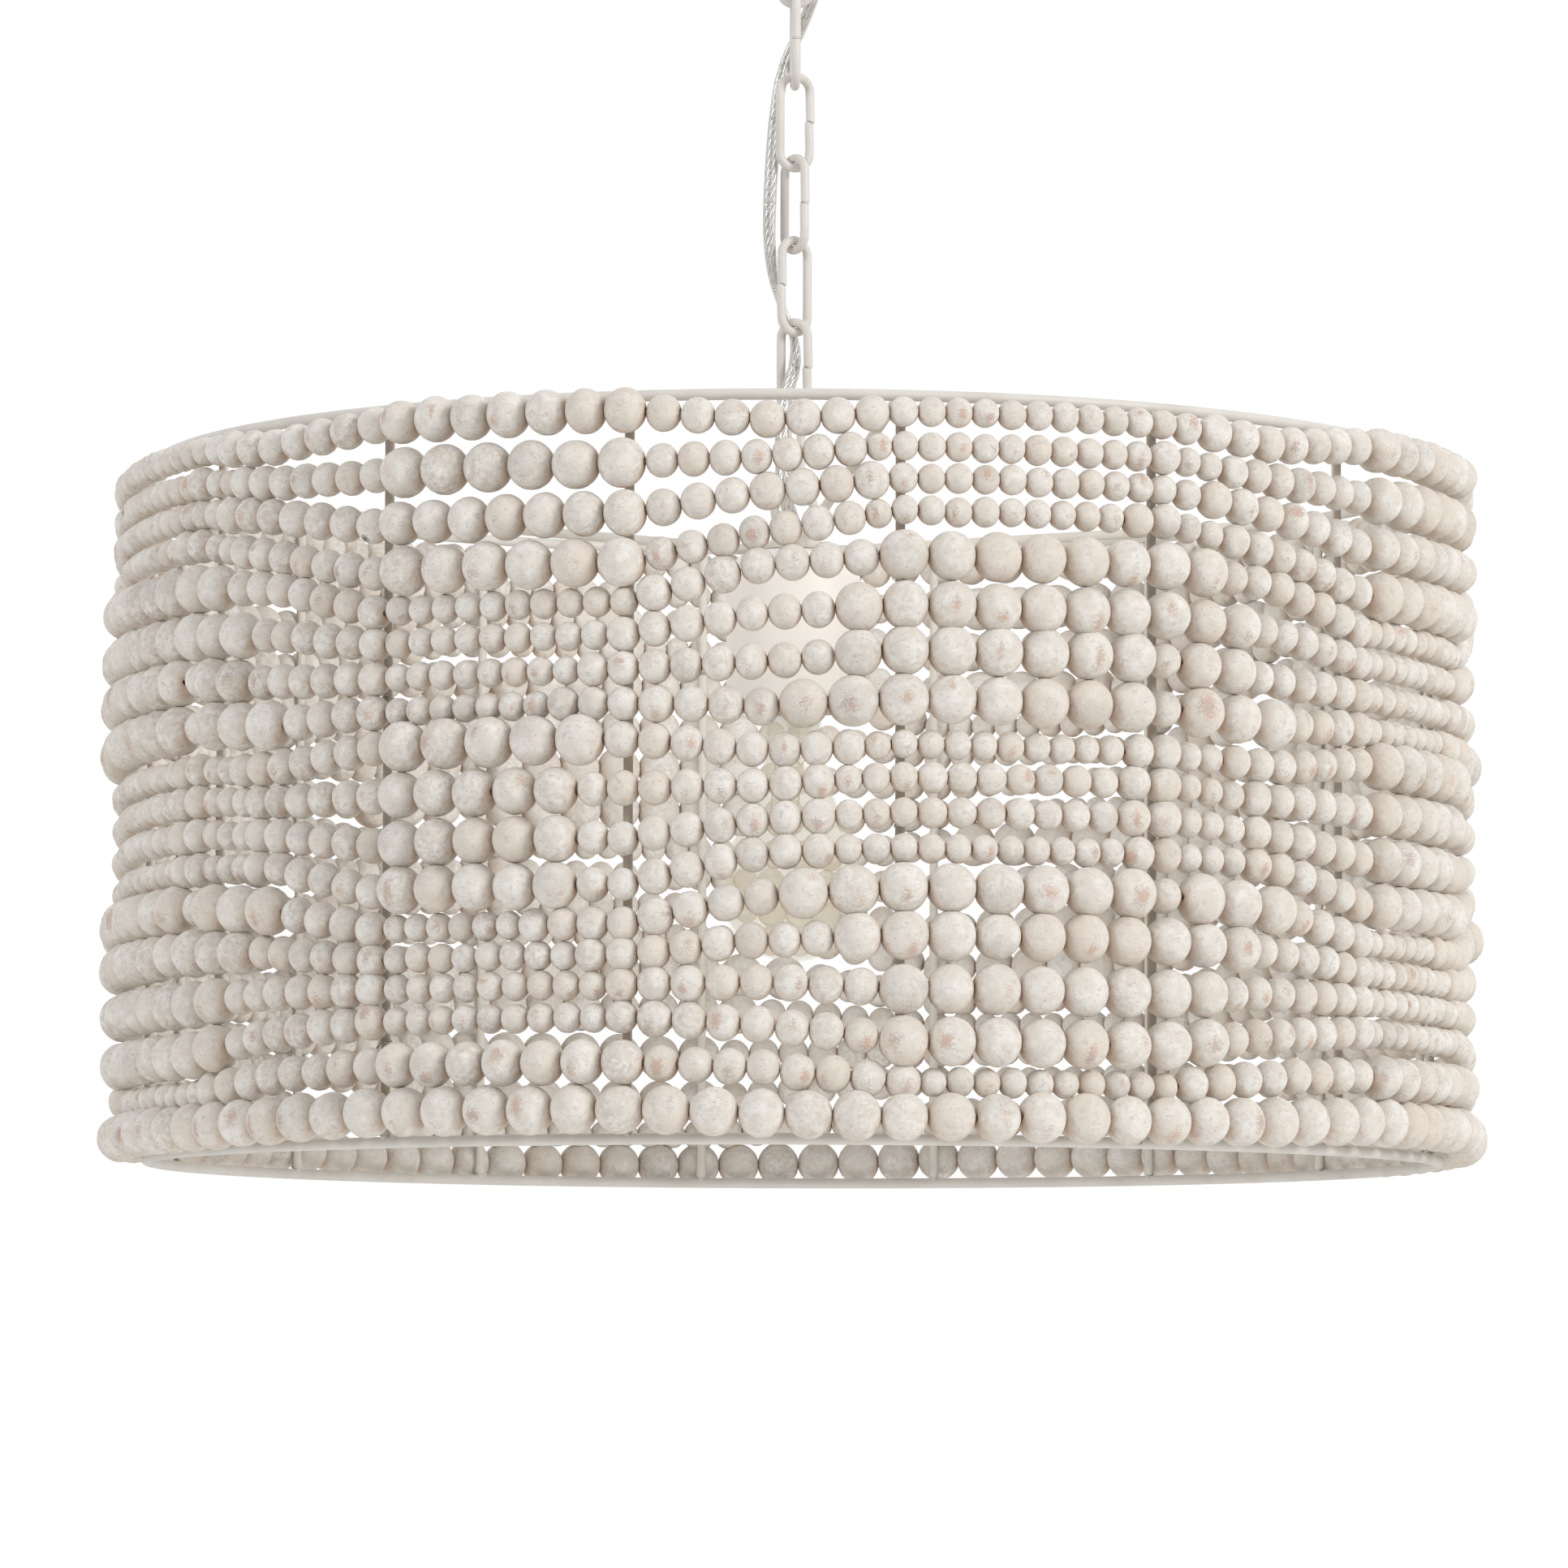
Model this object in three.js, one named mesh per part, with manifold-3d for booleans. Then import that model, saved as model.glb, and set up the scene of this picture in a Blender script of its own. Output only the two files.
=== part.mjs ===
// Beaded chandelier: a drum of bead rows on a wire frame, hung by a chain from a ceiling canopy.
// Millimetres, +Z up, the origin on the ceiling above the drum's centre. Places round the drum
// are angles about +Z, measured from the front (-Y) towards the right (+X).
import * as THREE from 'three';
import { mergeVertices } from 'three/addons/utils/BufferGeometryUtils.js';
import Module from 'manifold-3d';

const wasm = await Module();
wasm.setup();

// Fits
const SEAT_GAP = 0.3; // between pieces that rest on each other
const WELD_SINK = 0.5; // how far one welded form runs into the next
const CUT_OVERRUN = 2; // how far a cutting form runs past the face it cuts

// Ceiling fittings
const BAR_LENGTH = 100;
const BAR_WIDTH = 20;
const BAR_THICKNESS = 2.5;
const BAR_SLOT_LENGTH = 14;
const BAR_SLOT_WIDTH = 5;
const BAR_SLOT_INSET = 12; // from the bar's end to the slot's centre
const NIPPLE_RADIUS = 4.85;
const NIPPLE_BORE_RADIUS = 3.2;
const NIPPLE_LENGTH = 27;
const CANOPY_RADIUS = 63.5;
const CANOPY_DEPTH = 24;
const CANOPY_WALL = 1.2;
const CANOPY_FLAT_RADIUS = 24;
const CANOPY_LIP = 2.5;
const THREAD_RADIUS = 11; // of the canopy loop, where the collar screws on
const THREAD_RISE = 4; // inside the canopy
const THREAD_LENGTH = 11;
const THREAD_BORE_DEPTH = 8;
const LOOP_NECK_RADIUS = 7;
const LOOP_NECK_LENGTH = 5.5;
const CANOPY_EYE_RADIUS = 11;
const CANOPY_EYE_WIRE = 5;
const COLLAR_RADIUS = 17;
const COLLAR_HEIGHT = 6;
const COLLAR_CHAMFER = 1.5;

// Chain: oval links, each with its own turn about the vertical
const LINK_LENGTH = 45.2;
const LINK_WIDTH = 17.6;
const LINK_WIRE = 4;
const LINK_TURNS_DEG = [2, -88, 12, -51, 31, -32, 62];

// Hub
const HUB_WIRE_DROP = 4; // from the top ring's centre down to the hub loop's upper wire
const HUB_EYE_RADIUS = 9.5;
const HUB_EYE_WIRE = 4;
const HUB_NECK_RADIUS = 6;
const HUB_NECK_LENGTH = 3;
const HUB_BOSS_RADIUS = 10;
const HUB_BOSS_LENGTH = 6;
const HUB_BORE_DEPTH = 5;
const HUB_NIPPLE_LENGTH = 19;
const SPIDER_DISC_RADIUS = 20;
const SPIDER_DISC_THICKNESS = 3;
const SPIDER_ARM_DIAMETER = 4.5;
const SPIDER_ARMS = 3;
const CUP_RADIUS = 29.75;
const CUP_HEIGHT = 70.4;
const CUP_WALL = 0.8;
const CUP_DOME_RISE = 14;
const CUP_FLAT_RADIUS = 12;

// Lamp holder and bulb
const SOCKET_RADIUS = 19;
const SOCKET_CAP_RADIUS = 12;
const SOCKET_CAP_HEIGHT = 7;
const SOCKET_HEIGHT = 64;
const SOCKET_BORE_DEPTH = 26;
const LAMP_BASE_RADIUS = 13.5;
const LAMP_BASE_LENGTH = 25.7;
const LAMP_BASE_WALL = 0.8;
const LAMP_BASE_SHOULDER = 5;
const LAMP_CONTACT_RADIUS = 5;
const BULB_SEAT = 5; // how far the neck goes into the base
const BULB_NECK_RADIUS = 12.4;
const BULB_NECK_LENGTH = 26;
const BULB_BELLY_RADIUS = 32;
const BULB_LENGTH = 122;
const BULB_WALL = 1;
const STEM_ROD_RADIUS = 3;
const STEM_LENGTH = 56;
const STEM_FLARE_LENGTH = 9;
const STEM_INSET = 1.5;
const STEM_BUTTON_RADIUS = 4.5;
const STEM_BUTTON_LENGTH = 3;

// Drum frame
const DRUM_RADIUS = 284; // of the rings and ribs, at the middle of their wire
const DRUM_HEIGHT = 304; // between the middles of the two rings
const RING_WIRE = 5;
const RING_GAPS_DEG = [123.15, 223]; // from +X, where the two arcs of each ring meet
const RIB_WIRE = 4;
const RIBS = 16;
const FIRST_RIB_DEG = 6.79;

// Beads, as diameters, and how their rows are laid out
const LARGE_BEAD = 20;
const MEDIUM_BEAD = 14.8;
const SMALL_BEAD = 12.3;
const ROWS = 18;
const BLOCK_ROWS = 4; // rows of one size in a block
const FIRST_ROW_DROP = 7.5; // from the top ring's centre to the first row's
const SMALL_FIRST_ROW_GAP = 0.75; // in the bays whose top block is small
const LARGE_FIRST_ROW_GAP = 0.35; // in the bays whose top block is large
const LARGE_BEADS_IN_BAY = 6;
const BEAD_JOINT_SHARE = 0.45; // thickness where two large beads meet, of a bead's

// Cord, a flat twin lead whose solid is a plain round tube. Its route is chosen by hand.
const CORD_SOLID_DIAMETER = 3.8;
const CORD_STRETCHES = 2;
const CORD_ROUTE = [
  [0, 0, -36.8], [4.4, 0.1, -42.5], [9.6, 0.3, -48.5], [12.4, 0.4, -57.5], [12.2, 0.6, -69],
  [11, 4.2, -79], [7.5, 9, -89.5], [2.5, 12, -102], [-2.5, 11.2, -113], [-6, 8.2, -125],
  [-8, 5.5, -138], [-9.5, 4.2, -153], [-10.5, 3, -169], [-11.2, 1.6, -185], [-11, 1.2, -201],
  [-9.2, 3.4, -215], [-5, 6.3, -228], [-0.8, 6.2, -237.5], [0.6, 2.9, -247.5], [0, 0, -255],
  [-1.9, -3.6, -262], [-4.1, -7.6, -269.5], [-5.6, -10.4, -277.5], [-5.9, -10.9, -287],
  [-5.8, -10.9, -297.5], [-5.6, -10.6, -306.5], [-4.4, -8.4, -314.5], [-2, -3.8, -320.5], [0, 0, -325.2],
];

// Counts of facets
const WIRE_SIDES = 6;
const RING_WIRE_SIDES = 5;
const ROUND_SIDES = 16;
const SMALL_ROUND_SIDES = 12;
const EYE_STEPS = 12;
const LINK_ARC_STEPS = 6;
const CURVE_STEPS = 4;
const BULB_STEPS = 5;
const HOLE_SIDES = 8;
const CORD_SIDES = 8;
const CORD_STEPS = 14;

// Heights below the ceiling that several pieces share
const canopyFace = -CANOPY_DEPTH;
const threadTop = canopyFace + THREAD_RISE;
const loopBottom = threadTop - THREAD_LENGTH - LOOP_NECK_LENGTH;
const canopyEyeZ = loopBottom + WELD_SINK - (CANOPY_EYE_RADIUS - CANOPY_EYE_WIRE / 2);
const linkPitch = LINK_LENGTH - 2 * LINK_WIRE - SEAT_GAP;
const linkReach = (LINK_LENGTH - LINK_WIRE) / 2; // from a link's centre to its end wires
const firstLinkZ =
  canopyEyeZ - CANOPY_EYE_RADIUS + CANOPY_EYE_WIRE / 2 + SEAT_GAP + LINK_WIRE / 2 - linkReach;
const lastLinkZ = firstLinkZ - linkPitch * (LINK_TURNS_DEG.length - 1);
const hubWireZ = lastLinkZ - linkReach + LINK_WIRE / 2 + SEAT_GAP + HUB_EYE_WIRE / 2;
const drumZ = hubWireZ + HUB_WIRE_DROP;

// Heights below the top ring's plane, for the pieces of the drum
const hubEyeZ = -HUB_WIRE_DROP - HUB_EYE_RADIUS;
const hubTop = hubEyeZ - (HUB_EYE_RADIUS - HUB_EYE_WIRE / 2) + WELD_SINK;
const hubBottom = hubTop - HUB_NECK_LENGTH - HUB_BOSS_LENGTH;
const discTop = hubBottom - SEAT_GAP;
const cupTop = discTop - SPIDER_DISC_THICKNESS - SEAT_GAP;
const hubNippleTop = hubBottom + HUB_BORE_DEPTH - SEAT_GAP;
const socketTop = cupTop - CUP_WALL - SEAT_GAP;
const socketBottom = socketTop - SOCKET_HEIGHT;
const lampBaseTop = socketBottom + SOCKET_BORE_DEPTH - SEAT_GAP;
const lampBaseBottom = lampBaseTop - LAMP_BASE_LENGTH;
const bulbTop = lampBaseBottom + BULB_SEAT;

const boreFit = NIPPLE_RADIUS + SEAT_GAP; // radius of every hole that a nipple goes through
const quarterTurn = Math.PI / 2;
const firstRib = THREE.MathUtils.degToRad(FIRST_RIB_DEG);
const bayAngle = (2 * Math.PI) / RIBS;

// Finishes
const finish = (color, roughness, metalness) => ({ color, roughness, metalness });
const whitePaint = finish(0xe4dfd6, 0.55, 0);
const ribPaint = finish(0xa89c8e, 0.6, 0);
const zincSteel = finish(0xb4b6b8, 0.4, 0.9);
const washedWood = finish(0xddd2c4, 0.8, 0);
const blackResin = finish(0x2a2826, 0.45, 0);
const brass = finish(0xb8924a, 0.35, 0.9);
const amberGlass = finish(0xf0dcb4, 0.05, 0);
const stemGlass = finish(0xe8ead8, 0.1, 0);
const clearCord = finish(0xcfcabc, 0.3, 0);

function piece(parent, name, geometry, look) {
  const mesh = new THREE.Mesh(geometry, new THREE.MeshStandardMaterial(look));
  mesh.name = name;
  parent.add(mesh);
  return mesh;
}

function group(parent) {
  const made = new THREE.Group();
  parent.add(made);
  return made;
}

const numbered = (name, index) => `${name}_${String(index + 1).padStart(2, '0')}`;

// A closed mesh of three.js as a solid that can be joined and cut
function solidOf(geometry) {
  const bare = geometry.clone();
  bare.deleteAttribute('normal');
  bare.deleteAttribute('uv');
  const merged = mergeVertices(bare);
  return new wasm.Manifold(new wasm.Mesh({
    numProp: 3,
    vertProperties: merged.attributes.position.array,
    triVerts: Uint32Array.from(merged.index.array),
  }));
}

function geometryOf(solid) {
  const mesh = solid.getMesh();
  return surface(mesh.vertProperties, mesh.triVerts);
}

function surface(positions, triangles) {
  const geometry = new THREE.BufferGeometry();
  geometry.setAttribute('position', new THREE.BufferAttribute(Float32Array.from(positions), 3));
  geometry.setIndex(Array.from(triangles));
  geometry.computeVertexNormals();
  return geometry;
}

// A form turned about +Z. The profile runs as [radius, height] and keeps the solid on its left.
function turned(profile, sides = ROUND_SIDES) {
  const points = profile.map(([radius, height]) => new THREE.Vector2(radius, height));
  return new THREE.LatheGeometry(points, sides).rotateX(quarterTurn);
}

function cylinder(radius, bottom, top, sides = SMALL_ROUND_SIDES) {
  const form = new THREE.CylinderGeometry(radius, radius, top - bottom, sides);
  return form.rotateX(quarterTurn).translate(0, 0, (top + bottom) / 2);
}

// Points of a quarter of an ellipse about (radius, height), from one angle to another
function ellipseArc(radius, height, reach, rise, fromAngle, toAngle, steps = CURVE_STEPS) {
  const points = [];
  for (let i = 0; i <= steps; i += 1) {
    const angle = fromAngle + ((toAngle - fromAngle) * i) / steps;
    points.push([radius + reach * Math.cos(angle), height + rise * Math.sin(angle)]);
  }
  return points;
}

// An upright ring of round wire in the XZ plane
function eye(radius, wire) {
  return new THREE.TorusGeometry(radius, wire / 2, WIRE_SIDES, EYE_STEPS).rotateX(quarterTurn);
}

function mountingBar() {
  const half = BAR_LENGTH / 2;
  const outline = new THREE.Shape();
  outline.moveTo(-half, -BAR_WIDTH / 2);
  outline.lineTo(half, -BAR_WIDTH / 2);
  outline.lineTo(half, BAR_WIDTH / 2);
  outline.lineTo(-half, BAR_WIDTH / 2);
  outline.closePath();
  const centreHole = new THREE.Path();
  centreHole.absarc(0, 0, boreFit / Math.cos(Math.PI / HOLE_SIDES), 0, 2 * Math.PI, true);
  outline.holes.push(centreHole);
  for (const side of [-1, 1]) {
    const middle = side * (half - BAR_SLOT_INSET);
    const run = (BAR_SLOT_LENGTH - BAR_SLOT_WIDTH) / 2;
    const slot = new THREE.Path();
    slot.absarc(middle + run, 0, BAR_SLOT_WIDTH / 2, quarterTurn, -quarterTurn, true);
    slot.absarc(middle - run, 0, BAR_SLOT_WIDTH / 2, -quarterTurn, -3 * quarterTurn, true);
    outline.holes.push(slot);
  }
  return new THREE.ExtrudeGeometry(outline, {
    depth: BAR_THICKNESS,
    bevelEnabled: false,
    curveSegments: HOLE_SIDES / 2,
  });
}

// A threaded tube, its lower end at height zero
function nipple(length) {
  return turned([
    [NIPPLE_BORE_RADIUS, 0],
    [NIPPLE_RADIUS, 0],
    [NIPPLE_RADIUS, length],
    [NIPPLE_BORE_RADIUS, length],
    [NIPPLE_BORE_RADIUS, 0],
  ], SMALL_ROUND_SIDES);
}

// A thin dish with its rim at height zero and its flat face below
function canopyDish() {
  const hole = THREAD_RADIUS + SEAT_GAP;
  const reach = CANOPY_RADIUS - CANOPY_FLAT_RADIUS;
  const rise = CANOPY_DEPTH - CANOPY_LIP;
  const outer = ellipseArc(CANOPY_FLAT_RADIUS, -CANOPY_LIP, reach, rise, -quarterTurn, 0);
  const inner = ellipseArc(
    CANOPY_FLAT_RADIUS, -CANOPY_LIP, reach - CANOPY_WALL, rise - CANOPY_WALL, 0, -quarterTurn,
  );
  return turned([
    [hole, -CANOPY_DEPTH],
    ...outer,
    [CANOPY_RADIUS, 0],
    [CANOPY_RADIUS - CANOPY_WALL, 0],
    ...inner,
    [hole, -CANOPY_DEPTH + CANOPY_WALL],
    [hole, -CANOPY_DEPTH],
  ]);
}

// A knurled ring that screws onto the loop's thread, its top at height zero
function screwCollar() {
  const inner = THREAD_RADIUS + SEAT_GAP;
  return turned([
    [inner, -COLLAR_HEIGHT],
    [COLLAR_RADIUS - COLLAR_CHAMFER, -COLLAR_HEIGHT],
    [COLLAR_RADIUS, -COLLAR_HEIGHT + COLLAR_CHAMFER],
    [COLLAR_RADIUS, 0],
    [inner, 0],
    [inner, -COLLAR_HEIGHT],
  ], SMALL_ROUND_SIDES);
}

// The loop that carries the chain: a threaded boss, a neck and an eye, bored for nipple and cord
function canopyLoop() {
  const boss = turned([
    [0, loopBottom],
    [LOOP_NECK_RADIUS, loopBottom],
    [THREAD_RADIUS, loopBottom + LOOP_NECK_LENGTH],
    [THREAD_RADIUS, threadTop],
    [0, threadTop],
  ], SMALL_ROUND_SIDES);
  const ring = eye(CANOPY_EYE_RADIUS, CANOPY_EYE_WIRE).translate(0, 0, canopyEyeZ);
  const bore = cylinder(boreFit, threadTop - THREAD_BORE_DEPTH, threadTop + CUT_OVERRUN);
  const wireWay = cylinder(NIPPLE_BORE_RADIUS, loopBottom - CUT_OVERRUN, threadTop);
  const joined = solidOf(boss).add(solidOf(ring));
  return geometryOf(joined.subtract(solidOf(bore)).subtract(solidOf(wireWay)));
}

// An oval link in the XZ plane: two half rings joined by straight legs, swept with round wire
function chainLink() {
  const radius = (LINK_WIDTH - LINK_WIRE) / 2;
  const positions = [];
  for (const end of [1, -1]) {
    const middle = end * (linkReach - radius);
    for (let i = 0; i <= LINK_ARC_STEPS; i += 1) {
      const angle = (Math.PI * i) / LINK_ARC_STEPS + (end > 0 ? 0 : Math.PI);
      for (let j = 0; j < WIRE_SIDES; j += 1) {
        const round = (2 * Math.PI * j) / WIRE_SIDES;
        const out = radius + (LINK_WIRE / 2) * Math.cos(round);
        const across = (LINK_WIRE / 2) * Math.sin(round);
        positions.push(out * Math.cos(angle), across, middle + out * Math.sin(angle));
      }
    }
  }
  const rings = 2 * (LINK_ARC_STEPS + 1);
  const triangles = [];
  for (let i = 0; i < rings; i += 1) {
    const next = (i + 1) % rings;
    for (let j = 0; j < WIRE_SIDES; j += 1) {
      const beside = (j + 1) % WIRE_SIDES;
      const corners = [i, next].flatMap((k) => [k * WIRE_SIDES + j, k * WIRE_SIDES + beside]);
      triangles.push(corners[0], corners[1], corners[2]);
      triangles.push(corners[2], corners[1], corners[3]);
    }
  }
  return surface(positions, triangles);
}

// The loop on the hub, its eye uppermost, bored for nipple and cord
function hubLoop() {
  const boss = turned([
    [0, hubBottom],
    [HUB_BOSS_RADIUS, hubBottom],
    [HUB_BOSS_RADIUS, hubBottom + HUB_BOSS_LENGTH],
    [HUB_NECK_RADIUS, hubTop],
    [0, hubTop],
  ], SMALL_ROUND_SIDES);
  const ring = eye(HUB_EYE_RADIUS, HUB_EYE_WIRE).translate(0, 0, hubEyeZ);
  const bore = cylinder(boreFit, hubBottom - CUT_OVERRUN, hubBottom + HUB_BORE_DEPTH);
  const wireWay = cylinder(NIPPLE_BORE_RADIUS, hubBottom, hubTop + CUT_OVERRUN);
  const joined = solidOf(boss).add(solidOf(ring));
  return geometryOf(joined.subtract(solidOf(bore)).subtract(solidOf(wireWay)));
}

// A ring of the drum in two arcs, the longer one first. Each arc takes collision pieces of its
// own, so that these follow the wire closely.
function ringArcs() {
  const ring = solidOf(new THREE.TorusGeometry(
    DRUM_RADIUS, RING_WIRE / 2, RING_WIRE_SIDES, SPIDER_ARMS * RIBS,
  ));
  const gaps = RING_GAPS_DEG.map((degrees) => {
    const gap = new THREE.BoxGeometry(2 * RING_WIRE, SEAT_GAP, 2 * RING_WIRE);
    gap.translate(DRUM_RADIUS, 0, 0);
    return solidOf(gap.rotateZ(THREE.MathUtils.degToRad(degrees) - firstRib));
  });
  const arcs = gaps.reduce((rest, gap) => rest.subtract(gap), ring).decompose();
  return arcs.sort((a, b) => b.volume() - a.volume()).map(geometryOf);
}

// The disc in the hub and the straight arms that rise from its edge to the top ring
function spider() {
  const disc = turned([
    [0, discTop - SPIDER_DISC_THICKNESS],
    [SPIDER_DISC_RADIUS, discTop - SPIDER_DISC_THICKNESS],
    [SPIDER_DISC_RADIUS, discTop],
    [0, discTop],
  ], SMALL_ROUND_SIDES);
  let joined = solidOf(disc);
  const start = new THREE.Vector3(
    0, -(SPIDER_DISC_RADIUS - SPIDER_ARM_DIAMETER / 2), discTop - SPIDER_DISC_THICKNESS / 2,
  );
  const end = new THREE.Vector3(0, -(DRUM_RADIUS - RING_WIRE / 2 - 2 * SEAT_GAP), 0);
  for (let i = 0; i < SPIDER_ARMS; i += 1) {
    const along = end.clone().sub(start);
    const arm = new THREE.CylinderGeometry(
      SPIDER_ARM_DIAMETER / 2, SPIDER_ARM_DIAMETER / 2, along.length(), WIRE_SIDES,
    );
    const lean = new THREE.Quaternion().setFromUnitVectors(
      new THREE.Vector3(0, 1, 0), along.clone().normalize(),
    );
    const middle = start.clone().add(end).multiplyScalar(0.5);
    arm.applyQuaternion(lean).translate(middle.x, middle.y, middle.z);
    arm.rotateZ(firstRib + (2 * Math.PI * i) / SPIDER_ARMS);
    joined = joined.add(solidOf(arm));
  }
  const hole = cylinder(
    boreFit, discTop - SPIDER_DISC_THICKNESS - CUT_OVERRUN, discTop + CUT_OVERRUN,
  );
  return geometryOf(joined.subtract(solidOf(hole)));
}

// A thin cup with a domed shoulder and an open mouth below
function socketCup() {
  const reach = CUP_RADIUS - CUP_FLAT_RADIUS;
  const shoulder = cupTop - CUP_DOME_RISE;
  const mouth = cupTop - CUP_HEIGHT;
  const outer = ellipseArc(CUP_FLAT_RADIUS, shoulder, reach, CUP_DOME_RISE, 0, quarterTurn);
  const inner = ellipseArc(
    CUP_FLAT_RADIUS, shoulder, reach - CUP_WALL, CUP_DOME_RISE - CUP_WALL, quarterTurn, 0,
  );
  return turned([
    [CUP_RADIUS, mouth],
    ...outer,
    [boreFit, cupTop],
    [boreFit, cupTop - CUP_WALL],
    ...inner,
    [CUP_RADIUS - CUP_WALL, mouth],
    [CUP_RADIUS, mouth],
  ]);
}

// A lamp holder with a narrower cap, a blind hole for the nipple and a bore for the bulb's base
function lampSocket() {
  const nippleBottom = hubNippleTop - HUB_NIPPLE_LENGTH - SEAT_GAP;
  const bore = LAMP_BASE_RADIUS + SEAT_GAP;
  return turned([
    [0, socketBottom + SOCKET_BORE_DEPTH],
    [bore, socketBottom + SOCKET_BORE_DEPTH],
    [bore, socketBottom],
    [SOCKET_RADIUS, socketBottom],
    [SOCKET_RADIUS, socketTop - SOCKET_CAP_HEIGHT],
    [SOCKET_CAP_RADIUS, socketTop],
    [boreFit, socketTop],
    [boreFit, nippleBottom],
    [0, nippleBottom],
  ]);
}

// The metal shell of the bulb's base, closed at its contact and open where the neck goes in
function lampBase() {
  const inner = LAMP_BASE_RADIUS - LAMP_BASE_WALL;
  return turned([
    [0, lampBaseTop - LAMP_BASE_SHOULDER],
    [inner, lampBaseTop - LAMP_BASE_SHOULDER],
    [inner, lampBaseBottom],
    [LAMP_BASE_RADIUS, lampBaseBottom],
    [LAMP_BASE_RADIUS, lampBaseTop - LAMP_BASE_SHOULDER],
    [LAMP_CONTACT_RADIUS, lampBaseTop],
    [0, lampBaseTop],
  ]);
}

// Teardrop outline from the neck down to the tip, drawn in by the wall's thickness if asked
function bulbOutline(inset) {
  const bellyZ = bulbTop - BULB_LENGTH + BULB_BELLY_RADIUS;
  const neckZ = bulbTop - BULB_NECK_LENGTH;
  const points = [[BULB_NECK_RADIUS - inset, bulbTop]];
  for (let i = 0; i < BULB_STEPS; i += 1) {
    const swell = THREE.MathUtils.smoothstep(i, 0, BULB_STEPS);
    const radius = THREE.MathUtils.lerp(BULB_NECK_RADIUS, BULB_BELLY_RADIUS, swell);
    points.push([radius - inset, THREE.MathUtils.lerp(neckZ, bellyZ, i / BULB_STEPS)]);
  }
  const round = BULB_BELLY_RADIUS - inset;
  return [...points, ...ellipseArc(0, bellyZ, round, round, 0, -quarterTurn)];
}

function bulbGlass() {
  const outer = bulbOutline(0).reverse();
  const inner = bulbOutline(BULB_WALL);
  return turned([...outer, ...inner]);
}

// The glass stem in the bulb's neck, which flares to the neck and ends in a button
function bulbStem() {
  const top = bulbTop - STEM_INSET;
  const flare = BULB_NECK_RADIUS - BULB_WALL - SEAT_GAP;
  const tip = top - STEM_LENGTH;
  return turned([
    [0, tip],
    [STEM_BUTTON_RADIUS, tip],
    [STEM_BUTTON_RADIUS, tip + STEM_BUTTON_LENGTH],
    [STEM_ROD_RADIUS, tip + STEM_BUTTON_LENGTH],
    [STEM_ROD_RADIUS, top - STEM_FLARE_LENGTH],
    [flare, top],
    [0, top],
  ], SMALL_ROUND_SIDES);
}

// What a bay holds: the blocks of its rows start small, or start large, or it lies between two such
const BAY_CYCLE = ['smallFirst', 'between', 'largeFirst', 'between'];
const bayKind = (bay) => BAY_CYCLE[((bay % RIBS) + RIBS) % BAY_CYCLE.length];

function beadSize(kind, row) {
  if (row === ROWS - 1) {
    return LARGE_BEAD;
  }
  if (kind === 'between') {
    return MEDIUM_BEAD;
  }
  const inFirstSize = Math.floor(row / BLOCK_ROWS) % 2 === 0;
  return inFirstSize === (kind === 'smallFirst') ? SMALL_BEAD : LARGE_BEAD;
}

// Height of each row in a kind of bay: the rows lie one below another, their own gap apart
function rowHeights(kind, gap) {
  const heights = [-FIRST_ROW_DROP];
  for (let row = 1; row < ROWS; row += 1) {
    const step = (beadSize(kind, row - 1) + beadSize(kind, row)) / 2 + gap;
    heights.push(heights[row - 1] - step);
  }
  return heights;
}

const HEIGHTS = {
  smallFirst: rowHeights('smallFirst', SMALL_FIRST_ROW_GAP),
  largeFirst: rowHeights('largeFirst', LARGE_FIRST_ROW_GAP),
};

// A rib's rows stand at the heights of the blocked bay beside it
function ribRowHeight(rib, row) {
  const own = bayKind(rib);
  return HEIGHTS[own === 'between' ? bayKind(rib - 1) : own][row];
}

// Stations along one row: how far round, how high, the bead's radius and the radius there.
// Large beads are drawn one by one, with a bead centred on each rib. Smaller ones stay a rod.
function rowStations(row) {
  const half = 1 / (2 * LARGE_BEADS_IN_BAY);
  const stations = [];
  const add = (bay, share, bead, thickness) => {
    const height = THREE.MathUtils.lerp(ribRowHeight(bay, row), ribRowHeight(bay + 1, row), share);
    stations.push({ angle: (bay + share) * bayAngle, height, bead, thickness });
  };
  for (let bay = 0; bay < RIBS; bay += 1) {
    const size = beadSize(bayKind(bay), row);
    if (size === LARGE_BEAD) {
      for (let i = 0; i < LARGE_BEADS_IN_BAY; i += 1) {
        add(bay, i / LARGE_BEADS_IN_BAY, size / 2, size / 2);
        add(bay, i / LARGE_BEADS_IN_BAY + half, size / 2, (size / 2) * BEAD_JOINT_SHARE);
      }
      continue;
    }
    const atRib = Math.min(size, beadSize(bayKind(bay - 1), row));
    add(bay, 0, atRib / 2, atRib / 2);
    add(bay, 0.5, size / 2, size / 2);
  }
  return stations;
}

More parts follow.
